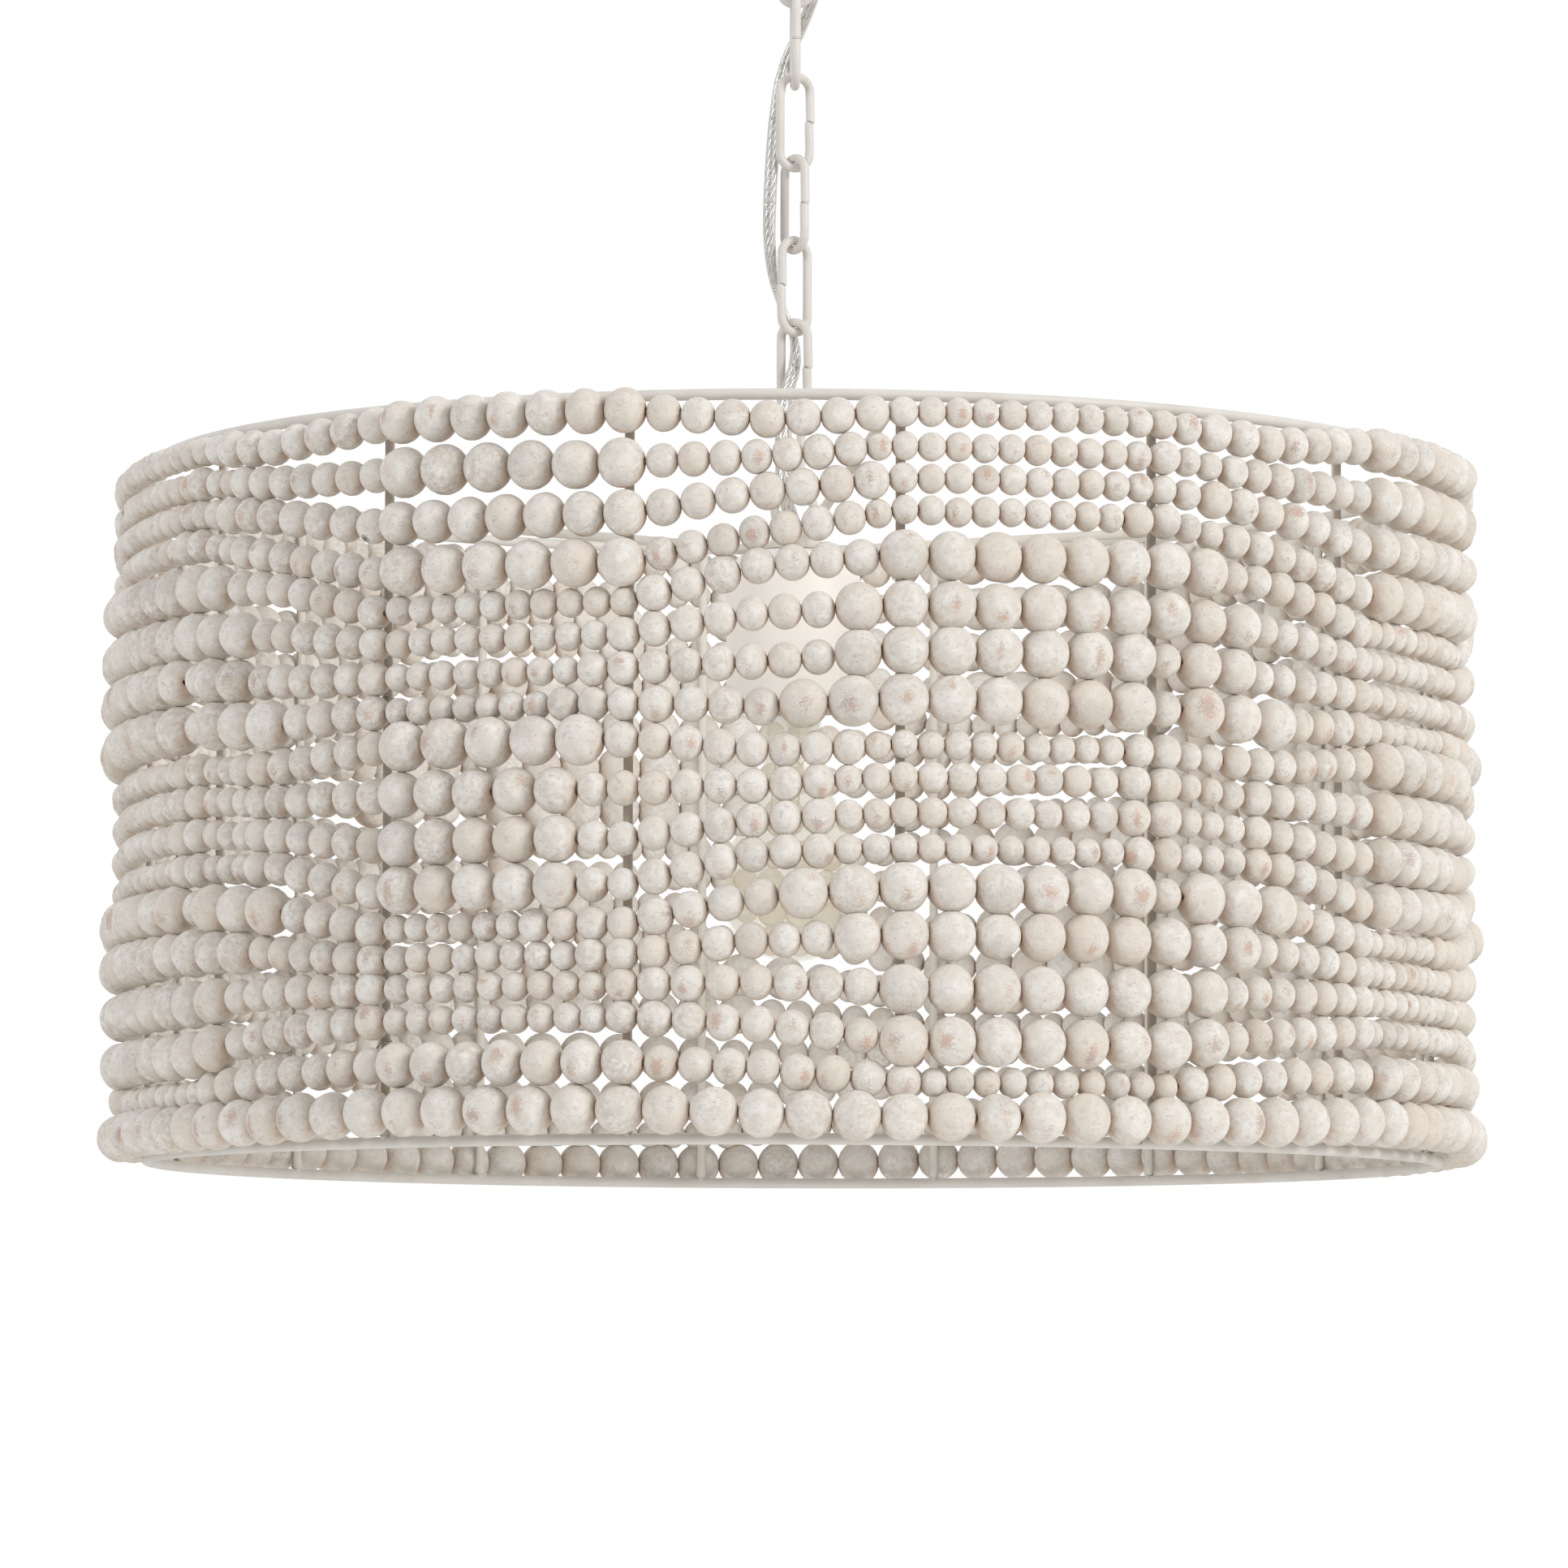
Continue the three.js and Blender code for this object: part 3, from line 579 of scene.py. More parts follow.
class Form:
    """Vertices, faces and facts of one mesh, gathered part by part."""

    def __init__(self) -> None:
        """Starts an empty form."""
        self.points: list[np.ndarray] = []
        self.quads: list[np.ndarray] = []
        self.quad_looks: list[np.ndarray] = []
        self.caps: list[tuple[np.ndarray, int]] = []
        self.facts: list[tuple[int, Facts]] = []
        self.count = 0

    def grid(
        self,
        points: np.ndarray,
        around: bool = True,
        closed: bool = False,
        caps: bool = True,
        look: int = 0,
        facts: Facts | None = None,
    ) -> None:
        """Adds a sheet of quads over a grid of points, as a tube where its columns close.

        Args:
            points: Rows by columns by three.
            around: Whether the last column joins the first.
            closed: Whether the last row joins the first.
            caps: Whether an open tube's ends are closed.
            look: The number of the material.
            facts: Facts of each vertex by name.
        """
        rows, columns = points.shape[:2]
        start = self.count
        self.points.append(points.reshape(-1, 3))
        self.count += rows * columns
        i = np.arange(rows if closed else rows - 1)[:, None]
        j = np.arange(columns if around else columns - 1)[None, :]
        k, m = (i + 1) % rows, (j + 1) % columns
        corners = [i * columns + j, i * columns + m, k * columns + m, k * columns + j]
        quads = np.stack(corners, axis=-1)
        self.quads.append(quads.reshape(-1, 4) + start)
        self.quad_looks.append(np.full(quads.shape[0] * quads.shape[1], look))
        if around and caps and not closed:
            self.caps.append((start + np.arange(columns)[::-1], look))
            self.caps.append((start + (rows - 1) * columns + np.arange(columns), look))
        if facts:
            self.facts.append((start, facts))

    def build(self, name: str, looks: Sequence[bpy.types.Material]) -> bpy.types.Object:
        """Makes the object, shaded smooth.

        Args:
            name: Its name.
            looks: Its materials.

        Returns:
            The object, in the scene.
        """
        points = np.concatenate(self.points)
        quads = np.concatenate(self.quads)
        caps = [cap for cap, _ in self.caps]
        sizes = np.concatenate([np.full(len(quads), 4), [len(cap) for cap in caps]])
        sizes = sizes.astype(np.int32)
        starts = np.concatenate([[0], np.cumsum(sizes)[:-1]]).astype(np.int32)
        look_numbers = np.concatenate([*self.quad_looks, [look for _, look in self.caps]])
        loops = np.concatenate([quads.reshape(-1), *caps]).astype(np.int32)
        mesh = bpy.data.meshes.new(name)
        mesh.vertices.add(len(points))
        mesh.vertices.foreach_set("co", points.astype(np.float32).reshape(-1))
        mesh.loops.add(len(loops))
        mesh.loops.foreach_set("vertex_index", loops)
        mesh.polygons.add(len(sizes))
        mesh.polygons.foreach_set("loop_start", starts)
        mesh.polygons.foreach_set("material_index", look_numbers.astype(np.int32))
        mesh.polygons.foreach_set("use_smooth", np.ones(len(sizes), dtype=bool))
        for look in looks:
            mesh.materials.append(look)
        self._store_facts(mesh, len(points))
        mesh.update(calc_edges=True)
        made = bpy.data.objects.new(name, mesh)
        bpy.context.scene.collection.objects.link(made)
        return made

    def _store_facts(self, mesh: bpy.types.Mesh, total: int) -> None:
        """Writes the facts of the vertices into the mesh."""
        names = {name: values.ndim for _, facts in self.facts for name, values in facts.items()}
        for name, dimensions in names.items():
            width = 3 if dimensions > 2 else 1
            whole = np.zeros((total, width), dtype=np.float32)
            for start, facts in self.facts:
                if name in facts:
                    values = facts[name].reshape(-1, width)
                    whole[start : start + len(values)] = values
            kind = "FLOAT_VECTOR" if width == 3 else "FLOAT"
            store = mesh.attributes.new(name, kind, "POINT")
            store.data.foreach_set("vector" if width == 3 else "value", whole.reshape(-1))


def sides_along(
    path: np.ndarray, closed: bool, up: Point | None
) -> tuple[np.ndarray, np.ndarray]:
    """Side directions along a path that turn as little as possible.

    Args:
        path: The points.
        closed: Whether the last point joins the first.
        up: The side direction at the start, or None for any.

    Returns:
        First sides and second sides.
    """
    if closed:
        tangents = np.roll(path, -1, axis=0) - np.roll(path, 1, axis=0)
    else:
        tangents = np.gradient(path, axis=0)
    tangents = tangents / np.linalg.norm(tangents, axis=1)[:, None]
    side = np.array(up if up is not None else (0.0, 0.0, 1.0))
    if abs(float(np.dot(side, tangents[0]))) > NEARLY_PARALLEL:
        side = np.array((1.0, 0.0, 0.0))
    sides = []
    for tangent in tangents:
        side = side - tangent * np.dot(side, tangent)
        side = side / np.linalg.norm(side)
        sides.append(side)
    firsts = np.array(sides)
    return firsts, np.cross(tangents, firsts)


def steps_along(path: np.ndarray) -> np.ndarray:
    """The lengths of a path's steps."""
    return np.linalg.norm(np.diff(path, axis=0), axis=1)


def gone_along(path: np.ndarray) -> np.ndarray:
    """How far each point of a path lies from its start, along it."""
    return np.concatenate([[0.0], np.cumsum(steps_along(path))])


def circle(sides: int) -> np.ndarray:
    """Unit circle points."""
    angle = np.arange(sides) * TURN / sides
    return np.stack([np.cos(angle), np.sin(angle)], axis=1)


def tube(
    path: np.ndarray,
    radius: float | np.ndarray,
    sides: int,
    closed: bool = False,
    up: Point | None = None,
) -> np.ndarray:
    """Points of a tube along a path.

    Args:
        path: The points of its centreline.
        radius: Its radius, or one for each point.
        sides: How many sides it has.
        closed: Whether it closes on itself.
        up: The side direction at its start.

    Returns:
        Rows by columns by three.
    """
    first, second = sides_along(path, closed, up)
    shape = circle(sides)
    size = np.broadcast_to(np.asarray(radius, dtype=float), (len(path),))
    offsets = shape[None, :, :1] * first[:, None, :] + shape[None, :, 1:] * second[:, None, :]
    return path[:, None, :] + offsets * size[:, None, None]


def rounded(corners: Sequence[Pair], radius: float) -> list[Pair]:
    """A profile whose inner corners are rounded off.

    Args:
        corners: The profile's points. Its two ends stay as they are.
        radius: The rounding radius, made smaller where an edge is too short.

    Returns:
        The new profile.
    """
    points = [corners[0]]
    for before, here, after in zip(corners, corners[1:], corners[2:]):
        a, b, c = (np.array(p, dtype=float) for p in (before, here, after))
        reach = min(radius, np.linalg.norm(a - b) * 0.45, np.linalg.norm(c - b) * 0.45)
        start = b + (a - b) / np.linalg.norm(a - b) * reach
        end = b + (c - b) / np.linalg.norm(c - b) * reach
        for i in range(ROUNDING_STEPS + 1):
            t = i / ROUNDING_STEPS
            points.append(tuple((1 - t) ** 2 * start + 2 * t * (1 - t) * b + t * t * end))
    points.append(corners[-1])
    return points


def bow(
    middle: Pair, reach: float, rise: float, first: float, last: float, count: int
) -> list[Pair]:
    """Outline points on a stretch of an ellipse.

    Args:
        middle: Its middle.
        reach: Its half width.
        rise: Its half height.
        first: The first point's angle, in degrees.
        last: The last point's angle.
        count: How many points.

    Returns:
        The points.
    """
    bends = [math.radians(angle) for angle in np.linspace(first, last, count)]
    return [(middle[0] + reach * math.cos(b), middle[1] + rise * math.sin(b)) for b in bends]


def turned(profile: Sequence[Pair], sides: int) -> np.ndarray:
    """Points of a form turned about +Z.

    Args:
        profile: Radii and heights in millimetres, outside going up, inside coming down.
        sides: How many sides it has.

    Returns:
        Rows by columns by three, in metres.
    """
    shape = np.array(profile) * MM
    ring = circle(sides)
    return np.array([
        np.column_stack([ring * radius, np.full(sides, height)]) for radius, height in shape
    ])


def shell_of(profile: Sequence[Pair], sides: int = 64) -> Form:
    """A form of one closed turned skin, from a profile in millimetres."""
    form = Form()
    form.grid(turned(profile, sides), closed=True)
    return form


def at_angle(angle: float, radius: float, height: float) -> np.ndarray:
    """A point round the drum's axis, in the units given."""
    return np.array([radius * math.sin(angle), -radius * math.cos(angle), height])


def smooth_through(points: Sequence[Point | np.ndarray], steps: int) -> np.ndarray:
    """A smooth path through points, evenly cut.

    Args:
        points: The points that it goes through.
        steps: How many pieces it is cut into.

    Returns:
        The path.
    """
    known = np.array(points, dtype=float)
    known = np.vstack([2 * known[0] - known[1], known, 2 * known[-1] - known[-2]])
    knots = np.concatenate([[0.0], np.cumsum(steps_along(known) ** 0.5)])

    def between(first: np.ndarray, second: np.ndarray, i: int, j: int, at: float) -> np.ndarray:
        """The point at a time between two points at two knots."""
        start, end = knots[i], knots[j]
        return first * (end - at) / (end - start) + second * (at - start) / (end - start)

    flank_shade = []
    for i in range(1, len(known) - 2):
        p0, p1, p2, p3 = known[i - 1 : i + 3]
        for at in np.linspace(knots[i], knots[i + 1], LINE_STEPS, endpoint=False):
            a1 = between(p0, p1, i - 1, i, at)
            a2 = between(p1, p2, i, i + 1, at)
            a3 = between(p2, p3, i + 1, i + 2, at)
            b1 = between(a1, a2, i - 1, i + 1, at)
            b2 = between(a2, a3, i, i + 2, at)
            flank_shade.append(between(b1, b2, i, i + 1, at))
    flank_shade.append(known[-2])
    line = np.array(flank_shade)
    gone = gone_along(line)
    wanted = np.linspace(0.0, gone[-1], steps + 1)
    return np.stack([np.interp(wanted, gone, line[:, axis]) for axis in range(3)], axis=1)


def carry(piece: bpy.types.Object, body: str, slot: Slot, *nodes: str) -> bpy.types.Object:
    """Puts a piece on its body and hides the solids that it stands for.

    Args:
        piece: The piece.
        body: The body that it rides on.
        slot: Its material slot; not used.
        nodes: The solids that it replaces.

    Returns:
        The piece.
    """
    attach(piece, body)
    if nodes:
        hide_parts(*nodes)
    LOG.info("%s: %d faces on %s", piece.name, len(piece.data.polygons), body)
    return piece


# Studio


@dataclass
class Studio:
    """Camera, soft light and a plain pale floor."""

    camera_place: Point = (-0.12164, -3.46162, -0.72803)
    yaw: float = math.radians(1.9448)
    pitch: float = math.radians(4.7328)
    roll: float = math.radians(0.1570)
    lens: float = 180.15
    sensor: float = 36.0
    floor_height: float = -1.55
    floor_size: float = 14.0
    white: float = 1.02
    front: float = 0.45
    above: float = 0.80
    front_to_back: Pair = (-0.5, 0.6)
    side_to_top: Pair = (0.3, 0.9)
    aim: Point = (0.0, 0.0, -0.45)
    lamps: tuple[tuple[str, Point, float, float, Colour], ...] = (
        ("key_left", (-2.8, -2.6, 1.5), 1.6, 46.0, (0.99, 0.99, 1.0)),
        ("key_right", (2.9, -2.4, 1.3), 1.6, 84.0, (1.0, 0.985, 0.965)),
        ("bounce", (0.0, -0.2, -1.5), 1.5, 3.5, (1.0, 0.985, 0.96)),
    )

    def build(self) -> None:
        """Makes the camera, the light and the floor."""
        self._camera()
        self._light()
        self._floor()
        bpy.context.scene.view_settings.view_transform = "Standard"

    def _camera(self) -> None:
        """Makes the camera at the viewing angle of the photograph."""
        ahead = Vector((
            math.sin(self.yaw) * math.cos(self.pitch),
            math.cos(self.yaw) * math.cos(self.pitch),
            math.sin(self.pitch),
        ))
        right = Vector((math.cos(self.yaw), -math.sin(self.yaw), 0.0))
        up = right.cross(ahead)
        leaned_right = right * math.cos(self.roll) + up * math.sin(self.roll)
        leaned_up = up * math.cos(self.roll) - right * math.sin(self.roll)
        lens = bpy.data.cameras.new("camera")
        lens.lens, lens.sensor_width = self.lens, self.sensor
        lens.clip_start, lens.clip_end = 0.1, 60.0
        made = bpy.data.objects.new("camera", lens)
        turn = Matrix((leaned_right, leaned_up, -ahead)).transposed().to_4x4()
        made.matrix_world = Matrix.Translation(self.camera_place) @ turn
        bpy.context.scene.collection.objects.link(made)
        bpy.context.scene.camera = made

    def _light(self) -> None:
        """Makes a white surround and large soft lamps."""
        bpy.context.scene.world = self._surround()
        for name, place, size, power, tint in self.lamps:
            lamp = bpy.data.lights.new(name, "AREA")
            lamp.shape, lamp.size, lamp.energy, lamp.color = "SQUARE", size, power, tint
            made = bpy.data.objects.new(name, lamp)
            made.location = place
            made.visible_camera = False
            ahead = Vector(self.aim) - Vector(place)
            made.rotation_euler = ahead.to_track_quat("-Z", "Y").to_euler()
            bpy.context.scene.collection.objects.link(made)

    def _surround(self) -> bpy.types.World:
        """A white sweep behind the chandelier and a dimmer room in front of it and overhead."""
        world = bpy.data.worlds.new("surround")
        world.use_nodes = True
        tree = world.node_tree
        place = tree.nodes.new("ShaderNodeTexCoord")
        split = tree.nodes.new("ShaderNodeSeparateXYZ")
        tree.links.new(place.outputs["Generated"], split.inputs[0])
        level = tree.nodes.new("ShaderNodeMath")
        level.operation = "MULTIPLY"
        for number, (axis, span, levels) in enumerate((
            ("Y", self.front_to_back, (self.front, self.white)),
            ("Z", self.side_to_top, (1.0, self.above)),
        )):
            step = tree.nodes.new("ShaderNodeMapRange")
            step.interpolation_type = "SMOOTHSTEP"
            for name, value in zip(("From Min", "From Max", "To Min", "To Max"), (*span, *levels)):
                step.inputs[name].default_value = value
            tree.links.new(split.outputs[axis], step.inputs["Value"])
            tree.links.new(step.outputs[0], level.inputs[number])
        tree.links.new(level.outputs[0], tree.nodes["Background"].inputs["Color"])
        return world

    def _floor(self) -> None:
        """Makes the floor under the chandelier."""
        half = self.floor_size / 2
        line = np.linspace(-half, half, 3)
        x, y = np.meshgrid(line, line)
        form = Form()
        form.grid(np.stack([x, y, np.full_like(x, self.floor_height)], axis=-1), around=False)
        form.build("floor", [FloorPaper().material()])


# Cord


@dataclass
class TwinCord:
    """Clear flat twin cord with silver strands, from the canopy loop down to the hub."""

    route: tuple[Point, ...] = (
        (0, 0, -36.8), (4.4, 0.1, -42.5), (9.6, 0.3, -48.5), (12.4, 0.4, -57.5), (12.2, 0.6, -69),
        (11, 4.2, -79), (7.5, 9, -89.5), (2.5, 12, -102), (-2.5, 11.2, -113), (-6, 8.2, -125),
        (-8, 5.5, -138), (-9.5, 4.2, -153), (-10.5, 3, -169), (-11.2, 1.6, -185), (-11, 1.2, -201),
        (-9.2, 3.4, -215), (-5, 6.3, -228), (-0.8, 6.2, -237.5), (0.6, 2.9, -247.5), (0, 0, -255),
        (-1.9, -3.6, -262), (-4.1, -7.6, -269.5), (-5.6, -10.4, -277.5), (-5.9, -10.9, -287),
        (-5.8, -10.9, -297.5), (-5.6, -10.6, -306.5), (-4.4, -8.4, -314.5), (-2, -3.8, -320.5),
        (0, 0, -325.2),
    )
    width: float = 6.4
    thickness: float = 3.5
    core_gap: float = 2.8
    core_radius: float = 0.82
    strands: int = 5
    strand_radius: float = 0.56
    strand_pitch: float = 19.0
    strand_sides: int = 8
    turn_in_all: float = math.radians(150)
    sway: float = 0.5
    sways: float = 1.5
    lobe_bow: float = 115.0
    lobe_points: int = 11
    blend_reach: float = 4.0
    stretches: int = 8
    steps: int = 36
    bodies: tuple[str, ...] = (
        "ceiling", "link_1", "link_2", "link_3", "link_4", "link_5", "link_6", "link_7", "drum",
    )
    wires: tuple[float, ...] = (-55.5, -91.9, -128.8, -165.7, -202.6, -239.5, -276.4, -313.3)

    def _section(self) -> np.ndarray:
        """The outline of two round lobes side by side, in millimetres."""
        lobe = self.thickness / 2
        middle = self.width / 2 - lobe
        points = []
        for side in (1, -1):
            for angle in np.linspace(-self.lobe_bow, self.lobe_bow, self.lobe_points):
                bent = math.radians(angle) + (0.0 if side > 0 else math.pi)
                points.append((side * middle + lobe * math.cos(bent), lobe * math.sin(bent)))
        return np.array(points)

    def build(self, sheath: bpy.types.Material, strand: bpy.types.Material) -> None:
        """Makes the cord in stretches, one for each joint that it passes.

        Args:
            sheath: The look of the clear sheath.
            strand: The look of the silver strands.
        """
        line = smooth_through(self.route, self.stretches * self.steps) * MM
        first, second = sides_along(line, False, (1.0, 0.0, 0.0))
        share = np.linspace(0.0, 1.0, len(line))
        twist = self.turn_in_all * share + self.sway * np.sin(share * TURN * self.sways)
        cosine, sine = np.cos(twist)[:, None], np.sin(twist)[:, None]
        across, through = first * cosine + second * sine, second * cosine - first * sine
        section = self._section() * MM
        flank = np.abs(section[:, 0]) / (self.width / 2 * MM)
        turns = gone_along(line) / (self.strand_pitch * MM)
        for i in range(self.stretches):
            span = slice(i * self.steps, (i + 1) * self.steps + 1)
            path, aside, outward = line[span], across[span], through[span]
            offsets = section[None, :, :1] * aside[:, None, :]
            offsets = offsets + section[None, :, 1:] * outward[:, None, :]
            form = Form()
            form.grid(
                path[:, None, :] + offsets,
                caps=i in (0, self.stretches - 1),
                facts={"flank": np.broadcast_to(flank[None, :], (len(path), len(section)))},
            )
            for side in (1, -1):
                core = path + aside * (side * self.core_gap / 2 * MM)
                self._strands(form, core, aside, outward, turns[span])
            self._join(form.build(f"cord_stretch_{i + 1}", [sheath, strand]), i)

    def _join(self, piece: bpy.types.Object, number: int) -> None:
        """Bakes a stretch's placement into its mesh and, for the second of each four, hides the
        cord solid that it replaces.

        Args:
            piece: The stretch.
            number: Its number, from 0 at the canopy loop.
        """
        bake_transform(piece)
        if number % 4 == 1:
            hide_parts(f"cord_{number // 4 + 1}")

    def _strands(
        self,
        form: Form,
        core: np.ndarray,
        across: np.ndarray,
        through: np.ndarray,
        turns: np.ndarray,
    ) -> None:
        """Adds one twisted bundle of strands.

        Args:
            form: The form that it is added to.
            core: The bundle's centreline.
            across: One side direction.
            through: The other side direction.
            turns: How many turns the bundle has made at each point.
        """
        for k in range(self.strands):
            ring = self.core_radius * MM if k else 0.0
            angle = turns * TURN + k * TURN / (self.strands - 1)
            cosine, sine = np.cos(angle)[:, None], np.sin(angle)[:, None]
            path = core + ring * (across * cosine + through * sine)
            form.grid(tube(path, self.strand_radius * MM, self.strand_sides), look=1)


# Chain


@dataclass
class Chain:
    """Oval welded links, painted, each turned by its own angle."""

    length: float = 45.2
    width: float = 17.6
    wire: float = 4.0
    first: float = -71.3
    pitch: float = 36.9
    turns: tuple[float, ...] = (2, -88, 12, -51, 31, -32, 62)
    weld_sides: tuple[int, ...] = (1, 1, 1, 1, -1, 1, -1)
    weld_step: float = 0.32
    weld_slope: float = 0.12
    weld_reach: float = 0.62
    weld_pinch: float = 0.45
    pinch_length: float = 0.20
    crowding: float = 2.2
    leg_share: float = 0.97
    arc_steps: int = 20
    leg_steps: int = 22
    sides: int = 18

    def _path(self, weld_side: int) -> tuple[np.ndarray, np.ndarray]:
        """Centreline of a link in the XZ plane, and the wire's radius along it.

        The points of the welded leg crowd at its middle, where the two ends of the wire meet a
        little out of line and the wire is pinched.

        Args:
            weld_side: The leg that carries the weld, 1 or -1 along X.

        Returns:
            Points and radii in millimetres.
        """
        radius = (self.width - self.wire) / 2
        straight = (self.length - self.width) / 2
        arc = np.linspace(0.0, math.pi, self.arc_steps, endpoint=False)
        across, up, sizes = [], [], []
        for side in (1, -1):
            leg = np.linspace(-straight * side, straight * side, self.leg_steps, endpoint=False)
            aside = np.full(self.leg_steps, radius * side)
            size = np.full(self.leg_steps, self.wire / 2)
            if side == weld_side:
                share = np.linspace(-self.leg_share, self.leg_share, self.leg_steps - 1) * side
                leg[1:] = np.sign(share) * np.abs(share) ** self.crowding * straight
                fade = np.exp(-((leg[1:] / (straight * self.weld_reach)) ** 2))
                aside[0] -= self.weld_step * side
                aside[1:] += np.tanh(leg[1:] / self.weld_slope) * self.weld_step * fade
                size[1:] -= self.weld_pinch * np.exp(-((leg[1:] / self.pinch_length) ** 2))
            turn = arc if side > 0 else arc + math.pi
            across += [aside, radius * np.cos(turn)]
            up += [leg, straight * side + radius * np.sin(turn)]
            sizes += [size, np.full(self.arc_steps, self.wire / 2)]
        flat = np.concatenate(across)
        path = np.stack([flat, np.zeros_like(flat), np.concatenate(up)], axis=1)
        return path, np.concatenate(sizes)

    def build(self, paint: bpy.types.Material) -> None:
        """Makes the links.

        Args:
            paint: Their look.
        """
        for i, turn in enumerate(self.turns):
            points, sizes = self._path(self.weld_sides[i])
            cosine, sine = math.cos(math.radians(turn)), math.sin(math.radians(turn))
            height = self.first - self.pitch * i
            path = np.stack([
                points[:, 0] * cosine, points[:, 0] * sine, points[:, 2] + height,
            ], axis=1) * MM
            shape = tube(path, sizes * MM, self.sides, closed=True, up=(-sine, cosine, 0.0))
            pinch = (self.wire / 2 - sizes) / self.weld_pinch
            form = Form()
            form.grid(
                shape,
                closed=True,
                facts={"seam": np.broadcast_to(pinch[:, None], shape.shape[:2])},
            )
            piece = form.build(f"link_{i + 1}_oval", [paint])
            carry(piece, f"link_{i + 1}", Slot.PAINT, f"chain_link_{i + 1}")


# Ceiling fittings


@dataclass
class CeilingFittings:
    """Mounting bar, nipple, canopy, screw collar and the loop that carries the chain."""

    nipple_radius: float = 4.85
    nipple_bore: float = 3.2
    nipple_length: float = 27.0
    canopy_radius: float = 63.5
    canopy_depth: float = 24.0
    canopy_wall: float = 1.2
    canopy_flat: float = 24.0
    canopy_lip: float = 2.5
    thread_radius: float = 11.0
    thread_pitch: float = 1.25
    gap: float = 0.3
    collar_radius: float = 17.0
    collar_height: float = 6.0
    knurls: int = 60
    knurl_depth: float = 0.018
    boss_rise: float = 4.0
    boss_low: float = -31.0
    boss_bore: float = 5.15
    bore_depth: float = 8.0
    neck_radius: float = 7.0
    neck_low: float = -36.5
    eye_height: float = -44.5
    eye_radius: float = 11.0
    eye_wire: float = 5.0

    def build(self, paint: bpy.types.Material, zinc: bpy.types.Material) -> None:
        """Makes the fittings.

        Args:
            paint: The look of what shows under the ceiling.
            zinc: The look of what is hidden in the canopy.
        """
        body = Body.CEILING.value
        self._bar(zinc)
        nipple = threaded(self.nipple_radius, self.nipple_bore, -self.nipple_length, 0.0)
        carry(nipple.build("canopy_nipple_thread", [zinc]), body, Slot.ZINC, "canopy_nipple")
        carry(self._canopy().build("canopy_dish", [paint]), body, Slot.PAINT, "canopy")
        carry(self._collar().build("screw_collar", [paint]), body, Slot.PAINT, "canopy_collar")
        carry(self._loop().build("canopy_loop_eye", [paint]), body, Slot.PAINT, "canopy_loop")

    def _bar(self, zinc: bpy.types.Material) -> None:
        """Dresses the mounting bar's own solid with zinc."""
        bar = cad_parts["mounting_bar"]
        bar.data.materials.clear()
        bar.data.materials.append(zinc)

    def _canopy(self) -> Form:
        """The dish with its rolled lip."""
        outer, inner = self.canopy_radius, self.canopy_radius - self.canopy_wall
        reach = self.canopy_radius - self.canopy_flat
        rise = self.canopy_depth - self.canopy_lip
        hole = self.thread_radius + self.gap
        middle = (self.canopy_flat, -self.canopy_lip)
        return shell_of([
            (hole, self.canopy_wall - self.canopy_depth), (hole, -self.canopy_depth),
            *bow(middle, reach, rise, -90, 0, 22),
            (outer, -0.4), (outer - 0.3, -0.05), (inner + 0.3, -0.05), (inner, -0.4),
            *bow(middle, reach - self.canopy_wall, rise - self.canopy_wall, 0, -90, 22),
        ], 96)

    def _collar(self) -> Form:
        """The screw collar, knurled round its edge."""
        inner, outer = self.thread_radius + self.gap, self.collar_radius
        top = -self.canopy_depth - self.gap
        low = top - self.collar_height
        sides = 3 * self.knurls
        points = turned(rounded([
            (inner, top), (inner, low), (outer - 1.5, low), (outer, low + 1.5),
            (outer, top - 0.4), (outer - 0.4, top), (inner + 0.1, top),
        ], 0.4), sides)
        reach = np.linalg.norm(points[:, :, :2], axis=2, keepdims=True)
        knurl = 1.0 - self.knurl_depth * (np.arange(sides) % 3 == 0)[None, :, None]
        edge = reach > (outer - 0.6) * MM
        points[:, :, :2] = np.where(edge, points[:, :, :2] * knurl, points[:, :, :2])
        form = Form()
        form.grid(points, closed=True)
        return form

    def _loop(self) -> Form:
        """The threaded boss with its neck and eye."""
        top = -self.canopy_depth + self.boss_rise
        bore, low, neck = self.nipple_bore, self.neck_low, self.neck_radius
        form = shell_of([
            *rounded([
                (bore, top - self.bore_depth), (bore, low), (neck - 0.4, low), (neck, low + 0.6),
                (self.thread_radius, self.boss_low),
            ], 0.8),
            *thread_profile(self.thread_radius, self.boss_low, top, self.thread_pitch),
            (self.boss_bore, top), (self.boss_bore, top - self.bore_depth),
        ])
        form.grid(eye_ring(self.eye_radius, self.eye_wire, self.eye_height, 0.0), closed=True)
        return form


def thread_profile(radius: float, low: float, high: float, pitch: float) -> list[Pair]:
    """A screw thread's outline, going up.

    Args:
        radius: The outer radius.
        low: Where it starts.
        high: Where it ends.
        pitch: The distance between its crests.

    Returns:
        The outline.
    """
    root = radius - THREAD_DEPTH
    count = max(1, int((high - low) / pitch))
    step = (high - low) / count
    points = []
    for i in range(count):
        base = low + i * step
        crest = [(radius, base + step * 0.4), (radius, base + step * 0.6)]
        points += [(root, base + step * 0.05), *crest]
    points.append((root, high))
    return points


def threaded(radius: float, bore: float, low: float, high: float) -> Form:
    """A threaded tube, from heights in millimetres."""
    ends = [(bore, high - 0.02), (bore, low + 0.02)]
    return shell_of([*ends, *thread_profile(radius, low, high, 1.0)], 48)


